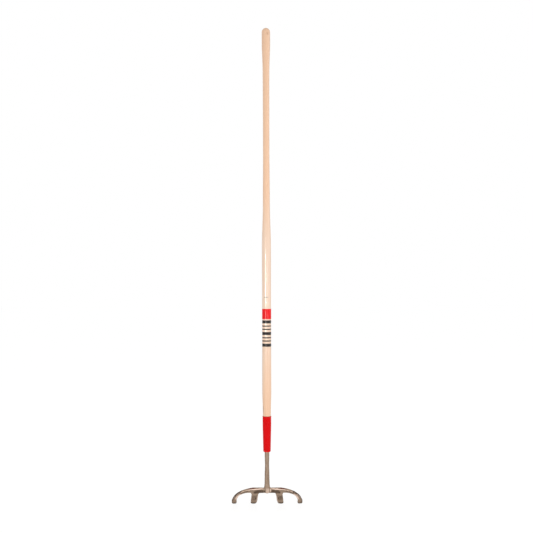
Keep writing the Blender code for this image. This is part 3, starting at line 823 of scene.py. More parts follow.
def forged_steel(sizes):
    """Lacquered forging: warm steel, forge scale with painted shade, a painted dark reflection on the arms'
    tops, and ground places with painted highlights.
    """
    material, nodes, shader = new_material("Forged and lacquered steel")
    place = nodes.object_place()
    tone = clouding(nodes, place, 95.0, drawn_out=1.6)
    mottle = clouding(nodes, place, 420.0)
    drawn = clouding(nodes, place, 330.0, drawn_out=26.0)
    on_shank = nodes.between(nodes.height(place), -0.128 + DATUM, -0.105 + DATUM)

    steel = nodes.over(rgba(sizes.warm_steel), tone, 0.6, sizes.pale_steel)
    steel = nodes.over(steel, mottle, 0.30, sizes.brown_steel)
    streaks = nodes.between(drawn, 0.35, 0.75)
    steel = nodes.over(steel, streaks, nodes.times(on_shank, 0.55), sizes.brown_steel)
    uneven = nodes.times_plus(mottle, 0.22, nodes.times_plus(tone, 0.26, -0.24))
    # The stored scale attribute holds forge scale and painted shade; here it darkens the steel.
    scaled_and_shaded = nodes.between(nodes.math("ADD", nodes.attribute("scale"), uneven), 0.04, 0.96)
    steel = nodes.over(steel, scaled_and_shaded, 0.92, sizes.dark_scale_and_shade)
    # lit: ground places and painted highlights, from the stored lit attribute.
    lit = nodes.between(nodes.times_plus(uneven, 0.7, nodes.attribute("lit")), 0.1, 0.9)
    steel = nodes.over(steel, lit, 0.9, sizes.lit_steel)
    # The tint attribute is a painted dark reflection on the arms' tops.
    steel = nodes.over(steel, nodes.attribute("tint"), 0.9, sizes.top_reflection_colour)
    worn = edge_wear(nodes, place, amount=0.42, breakup=380.0)
    steel = nodes.over(steel, worn, 0.35, sizes.lit_steel)
    steel = nodes.over(steel, scuffs(nodes, place, 380.0), 0.15, sizes.lit_steel)
    nodes.feed(shader.inputs["Base Color"], steel)
    nodes.feed(shader.inputs["Metallic"], nodes.times_plus(scaled_and_shaded, -0.35, 0.7))
    rough = nodes.times_plus(mottle, 0.14, nodes.times_plus(scaled_and_shaded, 0.16, 0.36))
    nodes.feed(shader.inputs["Roughness"], rough)
    pits = nodes.add("ShaderNodeTexVoronoi", {"Vector": place, "Scale": 520.0}).outputs["Distance"]
    grind = nodes.noise(nodes.stretched(place, (1.0, 0.25, 0.25)), 1500.0)
    rise = nodes.times_plus(pits, 0.6, nodes.times(grind, 0.5))
    bump(nodes, shader, rise, strength=0.28, distance=0.0004)
    set_constants(shader, Specular_IOR_Level=0.25, Specular_Tint=(0.35, 0.30, 0.26, 1.0))
    return material


def printed_film(sizes):
    """Thin red film: even print, rubbed a little in streaks along the wood's grain, with fine scuffs."""
    material, nodes, shader = new_material("Printed red film")
    place = nodes.object_place()
    tone = clouding(nodes, place, 160.0, drawn_out=9.0)
    scuff = scuffs(nodes, place, 500.0)
    rubbed = nodes.math("MAXIMUM", nodes.times(tone, 0.08), nodes.times(scuff, 0.25))
    nodes.feed(shader.inputs["Base Color"], nodes.mix(rubbed, rgba(sizes.red), rgba(sizes.worn_red)))
    nodes.feed(shader.inputs["Roughness"], nodes.times_plus(scuff, 0.15, 0.33))
    nodes.feed(shader.inputs["Coat Weight"], nodes.times_plus(rubbed, -0.25, 0.30))
    bump(nodes, shader, tone, strength=0.08, distance=0.0002)
    set_constants(shader, Specular_IOR_Level=0.05, Specular_Tint=(1.0, 0.5, 0.45, 1.0), Coat_Roughness=0.06)
    return material


def pale_floor(sizes):
    """White to the camera and in reflections, but still a little darker where the tool shades it.

    The camera sees seven parts of glow and three of the lit floor, and the glow makes up for what the world
    doesn't light, so that the open floor comes out white.
    """
    material = bpy.data.materials.new("Pale floor")
    material.use_nodes = True
    nodes = Nodes(material.node_tree)
    glow_share = 0.7
    shortfall = 1.0 - (1.0 - glow_share) * sizes.world_light * sizes.floor_colour[0]
    diffuse = nodes.add("ShaderNodeBsdfDiffuse", {"Color": rgba(sizes.floor_colour)})
    camera_ray, mirrored = nodes.seen_rays()
    strength = nodes.times_plus(camera_ray, shortfall / glow_share - 1.0, 1.0)
    glow = nodes.add("ShaderNodeEmission", {"Color": WHITE, "Strength": strength})
    seen = nodes.math("MAXIMUM", nodes.times(camera_ray, glow_share), mirrored)
    shown = nodes.add("ShaderNodeMixShader", {0: seen, 1: diffuse.outputs[0], 2: glow.outputs[0]})
    nodes.add("ShaderNodeOutputMaterial", {"Surface": shown.outputs[0]})
    return material


def studio_world(sizes):
    """White to the camera and in reflections, and an even light of the given strength otherwise."""
    world = bpy.data.worlds.new("Studio")
    world.use_nodes = True
    nodes = Nodes(world.node_tree)
    camera_ray, mirrored = nodes.seen_rays()
    seen = nodes.math("MAXIMUM", camera_ray, mirrored)
    strength = nodes.times_plus(seen, 1.0 - sizes.world_light, sizes.world_light)
    sky = nodes.add("ShaderNodeBackground", {"Color": WHITE, "Strength": strength})
    nodes.add("ShaderNodeOutputWorld", {"Surface": sky.outputs[0]})
    return world


def handle_profile(sizes):
    """(r, z) down the handle: a quarter ellipse, the eased stations, shoulder, spigot and tapered bore."""
    heights, radii = sizes.station_heights, sizes.station_radii
    play, chamfer = 0.0003, 0.0006
    shoulder = RIM_HEIGHT + play
    dome = arc((0.0, heights[-1]), (radii[-1], sizes.top - heights[-1]), DOME_ARC, 0.0, 18)
    count = round((heights[-1] - heights[0]) / sizes.row_step)
    at = np.linspace(heights[-1], heights[0], count)
    body = np.column_stack([eased(heights, radii, at), at])[1:]
    neck = np.array([
        (radii[0], heights[0]),
        (radii[0] - chamfer / 3.0, shoulder + chamfer),
        (radii[0] - chamfer, shoulder),
        (sizes.spigot_radius, shoulder),
        (sizes.spigot_radius, sizes.spigot_taper),
        (sizes.spigot_foot_radius, sizes.foot),
        (sizes.bore_radius, sizes.foot),
        (sizes.bore_top_radius, sizes.bore_top),
        (TIP_FLAT, sizes.bore_top + TIP_LENGTH),
    ])
    return np.concatenate([dome, body, filled(neck, step=0.006)[1:]]) + (0.0, DATUM)


def ferrule_profile(sizes):
    """(r, z) round the wall: the beaded rim, cylinder, cone, round corner and foot, then up the inside."""
    rim, wall, foot, hole = sizes.rim_radius, sizes.wall, sizes.foot, sizes.hole_radius
    cone_top, corner, inner = sizes.cone_top, sizes.corner, sizes.inner_corner
    slope = (rim - sizes.foot_radius) / (cone_top - foot)
    side = sizes.foot_radius + slope * corner
    floor = foot + wall
    bead, lip, blend = 0.0012, 0.0005, 0.002
    bevel_width, bevel_height = 0.0004, 0.0003
    groove = rim - sizes.groove
    groove_top, groove_bottom, groove_end = (RIM_HEIGHT - drop for drop in (0.0030, 0.0038, 0.0054))
    outline = np.concatenate([
        arc((rim - wall / 2.0, RIM_HEIGHT - wall / 2.0), (wall / 2.0, wall / 2.0), 180.0, 60.0, 7),
        arc((rim - bead + sizes.bead, RIM_HEIGHT - bead), (bead, bead), 60.0, -50.0, 9),
        [(groove, groove_top), (groove, groove_bottom), (rim, groove_end)],
        [(rim, cone_top + 2.0 * blend), (rim - slope * blend, cone_top - blend)],
        arc((side - corner, foot + corner), (corner, corner), 0.0, -88.0, 14),
        arc((hole + lip, foot + lip), (lip, lip), 270.0, 180.0, 5),
        [(hole, floor - bevel_height), (hole + bevel_width, floor)],
        arc((side - wall - inner, floor + inner), (inner, inner), -90.0, 0.0, 8),
        [(rim - wall, cone_top), (rim - wall, RIM_HEIGHT - wall)],
    ])
    return filled(outline, step=0.0014) + (0.0, DATUM)


def rivet_grid(sizes, columns):
    """Both heads and the shaft as one tube along Y, the heads' undersides bent to the ferrule's cylinder.

    A row has a radius q and a lift h. Its points at angle a are x = q cos a, z = q sin a, and -y is the
    root of R squared less x squared, which is the cylinder's front there, plus h and the lift of the head's
    rim. The back half mirrors the front.
    """
    reach = sizes.rivet_head_radius
    rim_lift = 0.0001
    dome = arc((0.0, 0.0), (reach, sizes.rivet_head_height), DOME_ARC, 0.0, 14)
    under = [(radius, -rim_lift) for radius in (reach * 0.97, reach * 0.7, sizes.rivet_radius)]
    rows = np.concatenate([dome, under])
    around = np.linspace(0.0, 2.0 * math.pi, columns, endpoint=False)
    x = rows[:, :1] * np.cos(around)
    z = rows[:, :1] * np.sin(around)
    front = -(np.sqrt(sizes.rim_radius**2 - x**2) + rows[:, 1:] + rim_lift)
    half = np.stack([x, front, z], axis=-1)
    back = (half * (1.0, -1.0, 1.0))[::-1]
    return np.concatenate([half, back]) + (0.0, 0.0, sizes.rivet_height + DATUM)


def sheet(head, distance):
    """(y, z, lean) of the bent sheet a distance down from the arms' middle: a straight, then two arcs.

    Along an arc of radius R that starts at lean a, the lean t grows by distance over R, y grows by
    R (cos a - cos t) and z falls by R (sin t - sin a).
    """
    straight = np.minimum(distance, head.arms_drop)
    y = head.arms_setback + straight * math.sin(head.arms_lean)
    z = head.arms_height - straight * math.cos(head.arms_lean)
    lean = np.full_like(distance, head.arms_lean)
    starts = (head.arms_drop, heel_end(head))
    bends = (
        (head.heel_radius, head.arms_lean, head.heel_lean),
        (head.run_radius, head.heel_lean, head.point_lean),
    )
    for start, (radius, first, last) in zip(starts, bends):
        turn = np.clip(first + (distance - start) / radius, first, last)
        y = y + radius * (math.cos(first) - np.cos(turn))
        z = z - radius * (np.sin(turn) - math.sin(first))
        lean = lean + turn - first
    return y, z + DATUM, lean


def heel_end(head):
    """Distance down the sheet to the heel's end."""
    return head.arms_drop + head.heel_radius * (head.heel_lean - head.arms_lean)


def sheet_length(head):
    """Distance down the sheet to the points."""
    return heel_end(head) + head.run_radius * (head.point_lean - head.heel_lean)


def taper(head, distance):
    """0 as far as the heel's end, then up to 1 at the points."""
    return np.clip((distance - heel_end(head)) / (sheet_length(head) - heel_end(head)), 0.0, 1.0)


def bar_grid(head, x, distance, heading, half_width, half_thickness, power, columns=40):
    """Grid of a bar in the sheet: superellipses of the given power, square to a path with these headings.

    At angle t a point lies at the path plus half_width |cos t|^p across it and half_thickness |sin t|^p out.
    """
    y, z, lean = sheet(head, distance)
    nothing = np.zeros_like(lean)
    down = np.stack([nothing, np.sin(lean), -np.cos(lean)], axis=-1)
    front = np.stack([nothing, -np.cos(lean), -np.sin(lean)], axis=-1)
    across = np.cos(heading)[:, None] * down
    across[:, 0] -= np.sin(heading)
    turn = np.linspace(0.0, 2.0 * math.pi, columns, endpoint=False)
    wide = np.sign(np.cos(turn)) * np.abs(np.cos(turn)) ** power[:, None]
    thick = np.sign(np.sin(turn)) * np.abs(np.sin(turn)) ** power[:, None]
    centre = np.stack([x, y, z], axis=-1)
    return (
        centre[:, None]
        + (half_width[:, None] * wide)[..., None] * across[:, None]
        + (half_thickness[:, None] * thick)[..., None] * front[:, None]
    )


def outer_path(head, step):
    """(x, distance, length) from the middle: the arm, a quarter superellipse down the sheet, then the run."""
    turn = np.linspace(0.0, math.pi / 2.0, 600)
    sweep = np.column_stack([
        head.outer_straight + (head.outer_heel - head.outer_straight) * np.sin(turn),
        heel_end(head) * (1.0 - np.clip(np.cos(turn), 0.0, 1.0) ** head.sweep_power),
    ])
    run = np.array([(head.outer_point, sheet_length(head))])
    corners = np.concatenate([[(0.0, 0.0)], sweep, run])
    travelled = np.concatenate([[0.0], np.cumsum(np.linalg.norm(np.diff(corners, axis=0), axis=1))])
    even = np.linspace(0.0, travelled[-1], round(travelled[-1] / step) + 1)
    return np.interp(even, travelled, corners[:, 0]), np.interp(even, travelled, corners[:, 1]), even


def arch_grid(head):
    """The arms and both outer tines, from the left point over the hub to the right one."""
    x, distance, travelled = outer_path(head, step=0.0022)
    x = np.concatenate([-x[:0:-1], x])
    distance = np.concatenate([distance[:0:-1], distance])
    travelled = np.concatenate([travelled[:0:-1], travelled])
    heading = np.arctan2(np.gradient(distance), np.gradient(x))
    body = eased(head.arch_lengths, head.arch_half_widths, travelled)
    width = body + (head.point_half_width - body) * taper(head, distance)
    thickness = head.half_thickness * eased((0.0, 0.012, 0.040, 0.075), (1.04, 1.04, 1.06, 1.0), travelled)
    thickness = thickness + (head.point_half_thickness - thickness) * taper(head, distance)
    # The section goes from a square with round corners on the arms to nearly an oval at the points.
    power = eased((0.0, 0.045, 0.100, 0.300), (0.32, 0.32, 0.62, 0.85), travelled)
    return bar_grid(head, x, distance, heading, width, thickness, power)


def inner_middle(head, distance):
    """How far from the tool's middle an inner tine runs, down to the heel's end."""
    down_tine = np.clip(distance / heel_end(head), 0.0, 1.0)
    return head.inner_root + (head.inner_heel - head.inner_root) * down_tine


def inner_grid(head, side):
    """One inner tine, from inside the arm to its point, with a root that widens into the arm."""
    start, flare_length, flare_width = -0.001, 0.020, 0.013
    distance = np.linspace(start, sheet_length(head), 100)
    x = inner_middle(head, distance)
    x = side * (x + (head.inner_point - head.inner_heel) * taper(head, distance))
    body = eased((0.0, 0.038, 0.075), (0.0108, 0.0107, 0.0090), distance)
    flare = flare_width * np.clip(1.0 - (distance - start) / flare_length, 0.0, 1.0) ** 2
    width = body + (head.point_half_width - body) * taper(head, distance) + flare
    thinning = head.half_thickness - head.point_half_thickness
    thickness = head.half_thickness - thinning * taper(head, distance)
    power = eased((0.0, 0.060, 0.220), (0.52, 0.62, 0.85), distance)
    straight_down = np.full_like(x, math.pi / 2.0)
    return bar_grid(head, x, distance, straight_down, width, thickness, power)


def shank_grid(head):
    """The turned bar: tang, shoulder, eased shank and the hub's rounded nose."""
    heights, radii = head.shank_heights, head.shank_radii
    at = np.linspace(heights[0], heights[-1], 60)
    tang = np.array([
        (TIP_FLAT, head.tang_tip + TIP_LENGTH),
        (head.tang_tip_radius, head.tang_tip),
        (head.tang_radius, 0.0),
        (head.tang_radius, heights[0]),
    ])
    shank = np.column_stack([eased(heights, radii, at), at])
    nose = arc((0.0, heights[-1]), (radii[-1], head.nose), 0.0, -DOME_ARC, 12)
    profile = filled(np.concatenate([tang, shank, nose[1:]]), step=0.003) + (0.0, DATUM)
    return turned(profile, columns=48)


def loose_bars(grids):
    """One mesh of closed tubes, one to a grid, which still pass through each other."""
    points, faces, start = [], [], 0
    for grid in grids:
        bar = new_mesh("bar", *capped_tube(grid))
        bar_points, triangles = mesh_arrays(bar)
        bpy.data.meshes.remove(bar)
        points.append(bar_points)
        faces.append(triangles + start)
        start += len(bar_points)
    return new_mesh("loose_bars", np.concatenate(points), np.concatenate(faces).tolist())


def nearest_sample(places, samples):
    """For each place, the number of the nearest sample: the least sum of squared differences."""
    chunks = np.array_split(places, 40)
    return np.concatenate([((chunk[:, None] - samples) ** 2).sum(axis=2).argmin(axis=1) for chunk in chunks])


def sheet_place(head, points):
    """(distance, ahead, lean): how far down the bent sheet a point is, how far before it, and the lean."""
    above, beyond = 0.012, 0.004
    samples = np.linspace(-above, sheet_length(head) + beyond, 340)
    y, z, lean = sheet(head, samples)
    nearest = nearest_sample(points[:, 1:], np.column_stack([y, z]))
    lean = lean[nearest]
    ahead = (y[nearest] - points[:, 1]) * np.cos(lean) + (z[nearest] - points[:, 2]) * np.sin(lean)
    return samples[nearest], ahead, lean


def outer_place(head, aside, distance):
    """(travelled, off): the length along the outer path to the nearest sample, and how far outside it is."""
    x, down, travelled = outer_path(head, step=0.0015)
    nearest = nearest_sample(np.column_stack([aside, distance]), np.column_stack([x, down]))
    heading = np.arctan2(np.gradient(down), np.gradient(x))[nearest]
    off = (aside - x[nearest]) * np.sin(heading) - (distance - down[nearest]) * np.cos(heading)
    return travelled[nearest], off


def head_places(head, points, normals):
    """Where each point of the head lies and how its surface faces, by name.

    distance runs down the bent sheet, ahead out of its front and aside from the tool's middle. travelled is
    the length along the arm and the outer tine, off is how far outside their path a point is, and inset how
    far inside their outer edge. front, upward and outward are the normal's shares out of the sheet's front,
    up the sheet and away from the middle. facing, past_hub and on_arm are eased masks made from them.
    """
    distance, ahead, lean = sheet_place(head, points)
    aside = np.abs(points[:, 0])
    travelled, off = outer_place(head, aside, distance)
    front = -normals[:, 1] * np.cos(lean) - normals[:, 2] * np.sin(lean)
    return SimpleNamespace(
        x=points[:, 0],
        forward=-points[:, 1],
        height=points[:, 2] - DATUM,
        distance=distance,
        ahead=ahead,
        lean=lean,
        aside=aside,
        travelled=travelled,
        off=off,
        inset=eased(head.arch_lengths, head.arch_half_widths, travelled) - off,
        front=front,
        upward=normals[:, 2] * np.cos(lean) - normals[:, 1] * np.sin(lean),
        outward=normals[:, 0] * np.sign(points[:, 0]),
        facing=smooth_step(front, 0.25, 0.7),
        past_hub=smooth_step(aside, 0.0095, 0.013),
        on_arm=fade(travelled, 0.066, 0.078),
    )


def dish_arms(head, points, normals):
    """Hollows the arms' tops: the depth times 1 less the square of the place across the top."""
    at = head_places(head, points, normals)
    along = smooth_step(at.aside, 0.012, 0.030) * fade(at.travelled, 0.052, 0.070)
    across = np.clip(1.0 - (at.ahead / head.dish_half_width) ** 2, 0.0, 1.0)
    on_top = smooth_step(at.off, 0.004, 0.0065) * smooth_step(at.upward, 0.3, 0.7)
    down = np.stack([np.zeros_like(at.lean), np.sin(at.lean), -np.cos(at.lean)], axis=1)
    return points + (head.dish_depth * along * across * on_top)[:, None] * down


def hammer_marks(head, points, normals):
    """Shallow dents of the hammer: each point moves along its normal by the mean of nine waves of its place.

    The waves' directions lie on a spiral round a ball, and their lengths run from 16 down to 7 mm. They fade
    out up the shank before it enters the ferrule.
    """
    count, longest, shortest = 9, 0.016, 0.007
    order = np.arange(count)
    rise = (order + 0.5) / (count / 2.0) - 1.0
    turn = order * 2.4
    level = np.sqrt(1.0 - rise**2)
    directions = np.stack([level * np.cos(turn), level * np.sin(turn), rise], axis=1)
    waves = directions * (2.0 * math.pi / np.linspace(longest, shortest, count))[:, None]
    dent = np.sin(points @ waves.T + 1.7 * order).mean(axis=1) * head.hammer_depth
    dent *= smooth_step(DATUM - points[:, 2], 0.008, 0.030)
    return points + dent[:, None] * normals


def arm_top(at):
    """The arms' narrow tops: close to the outer edge, facing up the sheet."""
    return fade(at.inset, 0.0011, 0.0026) * smooth_step(at.upward, 0.55, 0.85) * at.on_arm * at.past_hub


def dark_top_reflection(at):
    """A painted dark reflection in the dished tops, where they turn down to the outer tines."""
    across = fade(np.abs(at.ahead), 0.0030, 0.0044)
    return arm_top(at) * across * plateau(at.aside, 0.036, 0.046, 0.055, 0.067)


def scale_and_shade(head, at):
    """Forge scale and painted shade, the strongest of the dark marks.

    On the arms it lies on the front below the top edge, in the fold over each inner tine, on the shoulders,
    along the back edge and in the crotches; on the tines, down the inner fronts, on the outsides, underneath
    and behind; and beside the hub. Most of it is painted shade, darker where the surface faces down, away or
    into a crotch; some is the scale left in the crotches.
    """
    top_edge = -0.0064 - 0.0018 * smooth_step(at.aside, 0.016, 0.030)
    arm_front = at.facing * at.past_hub * fade(at.aside, 0.034, 0.047)
    arm_front *= smooth_step(at.distance - top_edge, 0.0, 0.0030) * fade(at.distance, 0.005, 0.013)
    fold = at.facing * spot(at.aside - 0.0395, at.distance - 0.0045, 0.0050, 0.0052)
    shoulder = 0.32 * smooth_step(at.aside, 0.034, 0.044) + 0.32 * smooth_step(at.aside, 0.057, 0.066)
    shoulder *= at.facing * fade(at.travelled, 0.088, 0.106) * smooth_step(at.inset, 0.0010, 0.0026)
    shoulder *= 0.25 + 0.75 * smooth_step(at.off, -0.0022, 0.0006)
    back_edge = fade(at.inset, 0.0021, 0.0041) * smooth_step(at.upward, -0.3, 0.2) * at.on_arm * at.past_hub
    back_edge *= fade(at.ahead, -0.0040, -0.0016) * fade(at.aside, 0.032, 0.044)
    crotch = 0.30 * smooth_step(-at.front, 0.1, 0.6) * fade(at.distance, 0.006, 0.030)
    crotch *= plateau(at.aside, 0.004, 0.014, 0.050, 0.085)

    from_inner = at.aside - inner_middle(head, at.distance)
    inner_front = 0.50 * at.facing * fade(np.abs(from_inner), 0.012, 0.015)
    inner_front *= plateau(at.distance, 0.012, 0.022, 0.034, 0.044)
    inner_streak = 0.9 * at.facing * spot(from_inner + 0.0040, at.distance - 0.029, 0.0026, 0.0080)
    outside = 0.85 * smooth_step(at.travelled, 0.066, 0.086) * smooth_step(at.off, 0.0006, 0.0034)
    outside *= smooth_step(at.aside, 0.075, 0.088)
    outside *= 0.35 + 0.65 * smooth_step(at.outward + at.upward, 0.1, 0.8)
    under = 0.85 * smooth_step(at.distance, 0.046, 0.060) * smooth_step(at.front, 0.0, 0.6)
    behind = smooth_step(at.distance, 0.050, 0.130) * (0.25 + 0.25 * smooth_step(-at.upward, -0.4, 0.6))

    beside_hub = spot(at.x + 0.0080, at.height + 0.1295, 0.0032, 0.0040)
    beside_hub = beside_hub + 0.5 * spot(at.x - 0.0078, at.height + 0.1230, 0.0016, 0.0090)
    return np.maximum.reduce([
        0.74 * arm_front, fold, shoulder, back_edge, crotch,
        inner_front, inner_streak, outside, under, behind, 0.85 * at.facing * beside_hub,
    ])


def ground_and_highlit_places(head, at):
    """Bright ground steel and painted highlights, the strongest of their places.

    They are the arms' front edges, their tops near the hub, the outer tines' fronts, the inner tines' edges,
    the hub's front and the points. Most are painted highlights where edges and faces catch the light; the
    points are also ground bright.
    """
    bend = smooth_step(at.aside, 0.048, 0.060)
    front_edge = at.on_arm * smooth_step(at.aside, 0.014, 0.035)
    front_edge *= 1.0 - 0.85 * smooth_step(at.aside, 0.054, 0.066)
    front_edge *= fade(at.inset + 0.0012 * bend, 0.0021, 0.0035)
    front_edge *= smooth_step(at.ahead + 0.0018 * bend, 0.0022, 0.0036)
    near_hub = arm_top(at) * fade(at.aside, 0.032, 0.043) * smooth_step(at.ahead, -0.0030, -0.0010)
    near_hub *= 1.0 - smooth_step(at.ahead, 0.0022, 0.0038) * fade(at.aside, 0.016, 0.034)
    near_hub *= 1.0 - 0.6 * smooth_step(at.ahead, -0.0004, 0.0018) * fade(at.aside, 0.012, 0.022)
    outer_front = 0.85 * at.facing * smooth_step(at.travelled, 0.078, 0.094) * fade(at.distance, 0.026, 0.040)
    outer_front *= smooth_step(at.aside, 0.080, 0.090) * fade(at.off, -0.0004, 0.0022)
    to_inner = inner_middle(head, at.distance) - at.aside
    inner_edge = 0.6 * plateau(to_inner, 0.0058, 0.0080, 0.014, 0.018) * smooth_step(at.front, -0.1, 0.4)
    inner_edge *= plateau(at.distance, 0.014, 0.024, 0.046, 0.062)
    hub = 0.5 * fade(np.abs(at.x - 0.0015), 0.0040, 0.0078) * smooth_step(at.forward, 0.002, 0.006)
    hub *= smooth_step(-at.height, 0.112, 0.124)
    end = sheet_length(head)
    points = 0.62 * smooth_step(at.distance, end - 0.050, end - 0.004)
    return np.maximum.reduce([front_edge, near_hub, outer_front, inner_edge, hub, points])


def head_finish(head, points, normals, hollow):
    """(scale, tint, lit): forge scale with painted shade, a painted dark reflection on the arms' tops, and
    ground steel with painted highlights at each point, from 0 to 1.

    Each is made of eased limits on where the point lies and how it faces, and fades out above the hub. The
    hollows add painted shade to the scale. A painted glint beside the hub is bare of scale.
    """
    at = head_places(head, points, normals)
    on_head = smooth_step(-at.height, 0.108, 0.114)
    glint = at.facing * spot(at.x - 0.0112, at.height + 0.1270, 0.0024, 0.0065)
    # Scale: forge scale and painted shade on faces turned down or away, plus painted shade in the hollows.
    scale = np.clip(scale_and_shade(head, at) + hollow * 0.8, 0.0, 1.0) * (1.0 - glint)
    # lit: ground steel and painted highlights with the painted glint, held back in the shaded hollows.
    lit = np.maximum(ground_and_highlit_places(head, at) * (1.0 - hollow), glint * 0.9)
    return scale * on_head, dark_top_reflection(at) * on_head, lit * on_head


class PotatoHookOperator(bpy.types.Operator):
    """Base of the operators that make a piece."""

    bl_options = {"REGISTER", "UNDO"}


class POTATOHOOK_OT_handle(PotatoHookOperator):
    """Turn the ash handle, with its dome, grip, waist, spigot and bore"""

    bl_idname = "potato_hook.handle"
    bl_label = "Turn the handle"

    def execute(self, context):
        sizes = context.scene.potato_hook.handle
        points, faces = capped_tube(turned(handle_profile(sizes), columns=80))
        mesh = new_mesh("turned_handle", points, faces)
        new_piece("turned_handle", mesh, lacquered_ash(sizes), ["handle"])
        return {"FINISHED"}


class POTATOHOOK_OT_ferrule(PotatoHookOperator):
    """Draw the ferrule, with its bead, round foot and punched vent"""

    bl_idname = "potato_hook.ferrule"
    bl_label = "Draw the ferrule"

    def execute(self, context):
        sizes = context.scene.potato_hook.ferrule
        grid = turned(ferrule_profile(sizes), columns=96)
        rows, columns, _ = grid.shape
        wall = new_mesh("drawn_ferrule", grid.reshape(-1, 3), tube_faces(rows, columns, True).tolist())
        punch_reach = 0.004
        punch = turned(np.array([(sizes.vent_radius, end * punch_reach) for end in (-1.0, 1.0)]), columns=24)
        punch = punch[..., [0, 2, 1]] + (0.0, -sizes.foot_radius, sizes.vent_height + DATUM)
        cutter = bpy.data.objects.new("punch", new_mesh("punch", *capped_tube(punch)))
        bpy.context.scene.collection.objects.link(cutter)
        mesh = with_modifier(wall, "BOOLEAN", operation="DIFFERENCE", solver="EXACT", object=cutter)
        bpy.data.objects.remove(cutter)
        points, _ = mesh_arrays(mesh)
        # A darker ring round the rivet's head: pooled paint and painted shade.
        from_rivet = np.hypot(points[:, 0], points[:, 2] - DATUM - sizes.rivet_height)
        pooled_and_shaded_width = 0.0016
        pooled_and_shaded = fade(from_rivet, sizes.rivet_head_radius, sizes.rivet_head_radius + pooled_and_shaded_width)
        store_wear(mesh, rounds=6, depth=0.00022, pooled_and_shaded=pooled_and_shaded)
        enamel = red_enamel("Ferrule enamel", sizes, streaks=7.0)
        new_piece("drawn_ferrule", mesh, enamel, ["ferrule"])
        return {"FINISHED"}


class POTATOHOOK_OT_rivet(PotatoHookOperator):
    """Set the rivet, its heads bent to the ferrule"""

    bl_idname = "potato_hook.rivet"
    bl_label = "Set the rivet"

    def execute(self, context):
        sizes = context.scene.potato_hook.ferrule
        points, faces = capped_tube(rivet_grid(sizes, columns=40))
        mesh = new_mesh("set_rivet", points, faces)
        store_wear(mesh, rounds=2, depth=0.0002)
        enamel = red_enamel("Rivet enamel", sizes, streaks=1.0)
        new_piece("set_rivet", mesh, enamel, ["tang_rivet"])
        return {"FINISHED"}


class POTATOHOOK_OT_head(PotatoHookOperator):
    """Forge the head: bars welded into one skin, with filleted crotches, ground edges, painted highlights and
    painted shade
    """

    bl_idname = "potato_hook.head"
    bl_label = "Forge the head"

    def execute(self, context):
        head = context.scene.potato_hook.head
        bars = (shank_grid(head), arch_grid(head), inner_grid(head, -1.0), inner_grid(head, 1.0))
        mesh = with_modifier(loose_bars(bars), "REMESH", mode="VOXEL", voxel_size=head.voxel, adaptivity=0.0)
        mesh.name = "forged_hook"
        points, triangles = mesh_arrays(mesh)
        edges = mesh_edges(mesh)
        points = relax(points, edges, rounds=4)
        points = fill_valleys(points, edges, triangles, rounds=26)
        points = relax(points, edges, rounds=5)
        points = dish_arms(head, points, vertex_normals(points, triangles))
        points = hammer_marks(head, points, vertex_normals(points, triangles))
        points = relax(points, edges, rounds=2)
        move_points(mesh, points)
        mesh.shade_smooth()
        ridge, hollow = ridge_and_hollow(points, edges, triangles, rounds=14, depth=0.0008)
        finish = head_finish(head, points, vertex_normals(points, triangles), hollow)
        # scale holds forge scale and painted shade, tint a painted dark reflection, lit ground steel and
        # painted highlights.
        for attribute, values in zip(("ridge", "scale", "tint", "lit"), (ridge, *finish)):
            store(mesh, attribute, values)
        new_piece("forged_hook", mesh, forged_steel(head), ["forged_head"])
        return {"FINISHED"}


class POTATOHOOK_OT_band(PotatoHookOperator):
    """Wrap the printed film round the handle"""

    bl_idname = "potato_hook.band"
    bl_label = "Wrap the film"

    def execute(self, context):
        handle = context.scene.potato_hook.handle
        sizes = context.scene.potato_hook.band
        at = np.linspace(sizes.bottom + sizes.height, sizes.bottom, 17)
        wood = eased(handle.station_heights, handle.station_radii, at)
        inner = np.column_stack([wood + sizes.gap, at])
        outer = inner + (sizes.thickness, 0.0)
        lip = sizes.thickness * 0.4
        outer[0, 1] -= lip
        outer[-1, 1] += lip
        grid = turned(np.concatenate([outer, inner[::-1]]) + (0.0, DATUM), columns=80)
        rows, columns, _ = grid.shape
        mesh = new_mesh("wrapped_film", grid.reshape(-1, 3), tube_faces(rows, columns, True).tolist())
        new_piece("wrapped_film", mesh, printed_film(sizes), ["label_band"])
        return {"FINISHED"}


def add_softbox(name, place, aim, size, radiance, beam=math.pi):
    """A rectangular lamp of that width and height, with a grid where its beam is narrow.

    Its power is pi times its area times the radiance wanted along its axis, times 1 less a over tan a, which
    is what a beam of half angle a needs.
    """
    lamp = bpy.data.lights.new(name, "AREA")
    lamp.shape = "RECTANGLE"
    lamp.size, lamp.size_y = size
    lamp.spread = beam
    lamp.energy = math.pi * size[0] * size[1] * radiance * (1.0 - beam / 2.0 / math.tan(beam / 2.0))
    box = bpy.data.objects.new(name, lamp)
    bpy.context.scene.collection.objects.link(box)
    box.location = place
    box.rotation_euler = (Vector(aim) - Vector(place)).to_track_quat("-Z", "Y").to_euler()
    return box


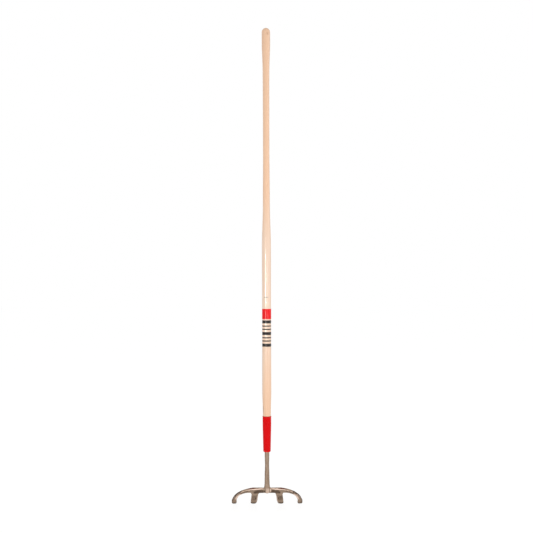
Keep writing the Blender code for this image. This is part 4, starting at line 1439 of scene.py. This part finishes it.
class POTATOHOOK_OT_stage(PotatoHookOperator):
    """Set the floor, the backdrop, the studio light and the camera"""

    bl_idname = "potato_hook.stage"
    bl_label = "Set the stage"

    def execute(self, context):
        sizes = context.scene.potato_hook.stage
        scene = context.scene
        gap, reach = 0.0008, 12.0
        level = cad_box[0].z - gap
        corners = [(x * reach, y * reach, level) for x, y in ((-1, -1), (1, -1), (1, 1), (-1, 1))]
        mesh = bpy.data.meshes.new("floor")
        mesh.from_pydata(corners, [], [(0, 1, 2, 3)])
        mesh.materials.append(pale_floor(sizes))
        floor = bpy.data.objects.new("floor", mesh)
        scene.collection.objects.link(floor)

        scene.world = studio_world(sizes)
        add_softbox("right_softbox", (2.9, -0.9, 0.1), (0.0, 0.0, -0.45), (1.8, 2.4), sizes.softbox_light)
        aim, beam = (0.0, 0.0, -0.44), math.radians(20.0)
        add_softbox("left_strip", (-0.86, -2.03, -0.51), aim, (0.56, 0.43), sizes.left_strip_light)
        add_softbox("right_strip", (1.00, -1.98, -0.51), aim, (0.52, 0.43), sizes.right_strip_light)
        gloss_place = (-0.77, -2.07, -0.60)
        gloss = add_softbox("gloss_strip", gloss_place, aim, (0.22, 0.60), sizes.gloss_strip_light, beam)
        gloss.visible_diffuse = False

        lens = bpy.data.cameras.new("camera")
        camera = bpy.data.objects.new("camera", lens)
        scene.collection.objects.link(camera)
        lens.lens = lens.sensor_width * sizes.camera_distance / sizes.frame_width
        camera.location = (0.0, -sizes.camera_distance, sizes.camera_height + DATUM)
        camera.rotation_euler = (math.pi / 2.0, sizes.camera_roll, 0.0)
        scene.camera = camera
        scene.view_settings.view_transform = "Standard"
        return {"FINISHED"}


class POTATOHOOK_PT_panel(bpy.types.Panel):
    """Lists the operators and the settings in the 3D view's sidebar"""

    bl_label = "Potato hook"
    bl_space_type = "VIEW_3D"
    bl_region_type = "UI"
    bl_category = "Potato hook"

    def draw(self, context):
        settings = context.scene.potato_hook
        for operator, part in zip(OPERATORS, ("handle", "ferrule", "ferrule", "head", "band", "stage")):
            self.layout.operator(operator.bl_idname)
            box = self.layout.box()
            group = getattr(settings, part)
            for name in group.__annotations__:
                box.prop(group, name)


OPERATORS = (
    POTATOHOOK_OT_handle,
    POTATOHOOK_OT_ferrule,
    POTATOHOOK_OT_rivet,
    POTATOHOOK_OT_head,
    POTATOHOOK_OT_band,
    POTATOHOOK_OT_stage,
)
CLASSES = (
    HandleSettings,
    FerruleSettings,
    HeadSettings,
    BandSettings,
    StageSettings,
    PotatoHookSettings,
    *OPERATORS,
    POTATOHOOK_PT_panel,
)


def register():
    for cls in CLASSES:
        bpy.utils.register_class(cls)
    bpy.types.Scene.potato_hook = PointerProperty(type=PotatoHookSettings)


def unregister():
    del bpy.types.Scene.potato_hook
    for cls in reversed(CLASSES):
        bpy.utils.unregister_class(cls)


def main():
    register()
    for name in ("handle", "ferrule", "rivet", "head", "band", "stage"):
        getattr(bpy.ops.potato_hook, name)()


if __name__ == "__main__":
    main()
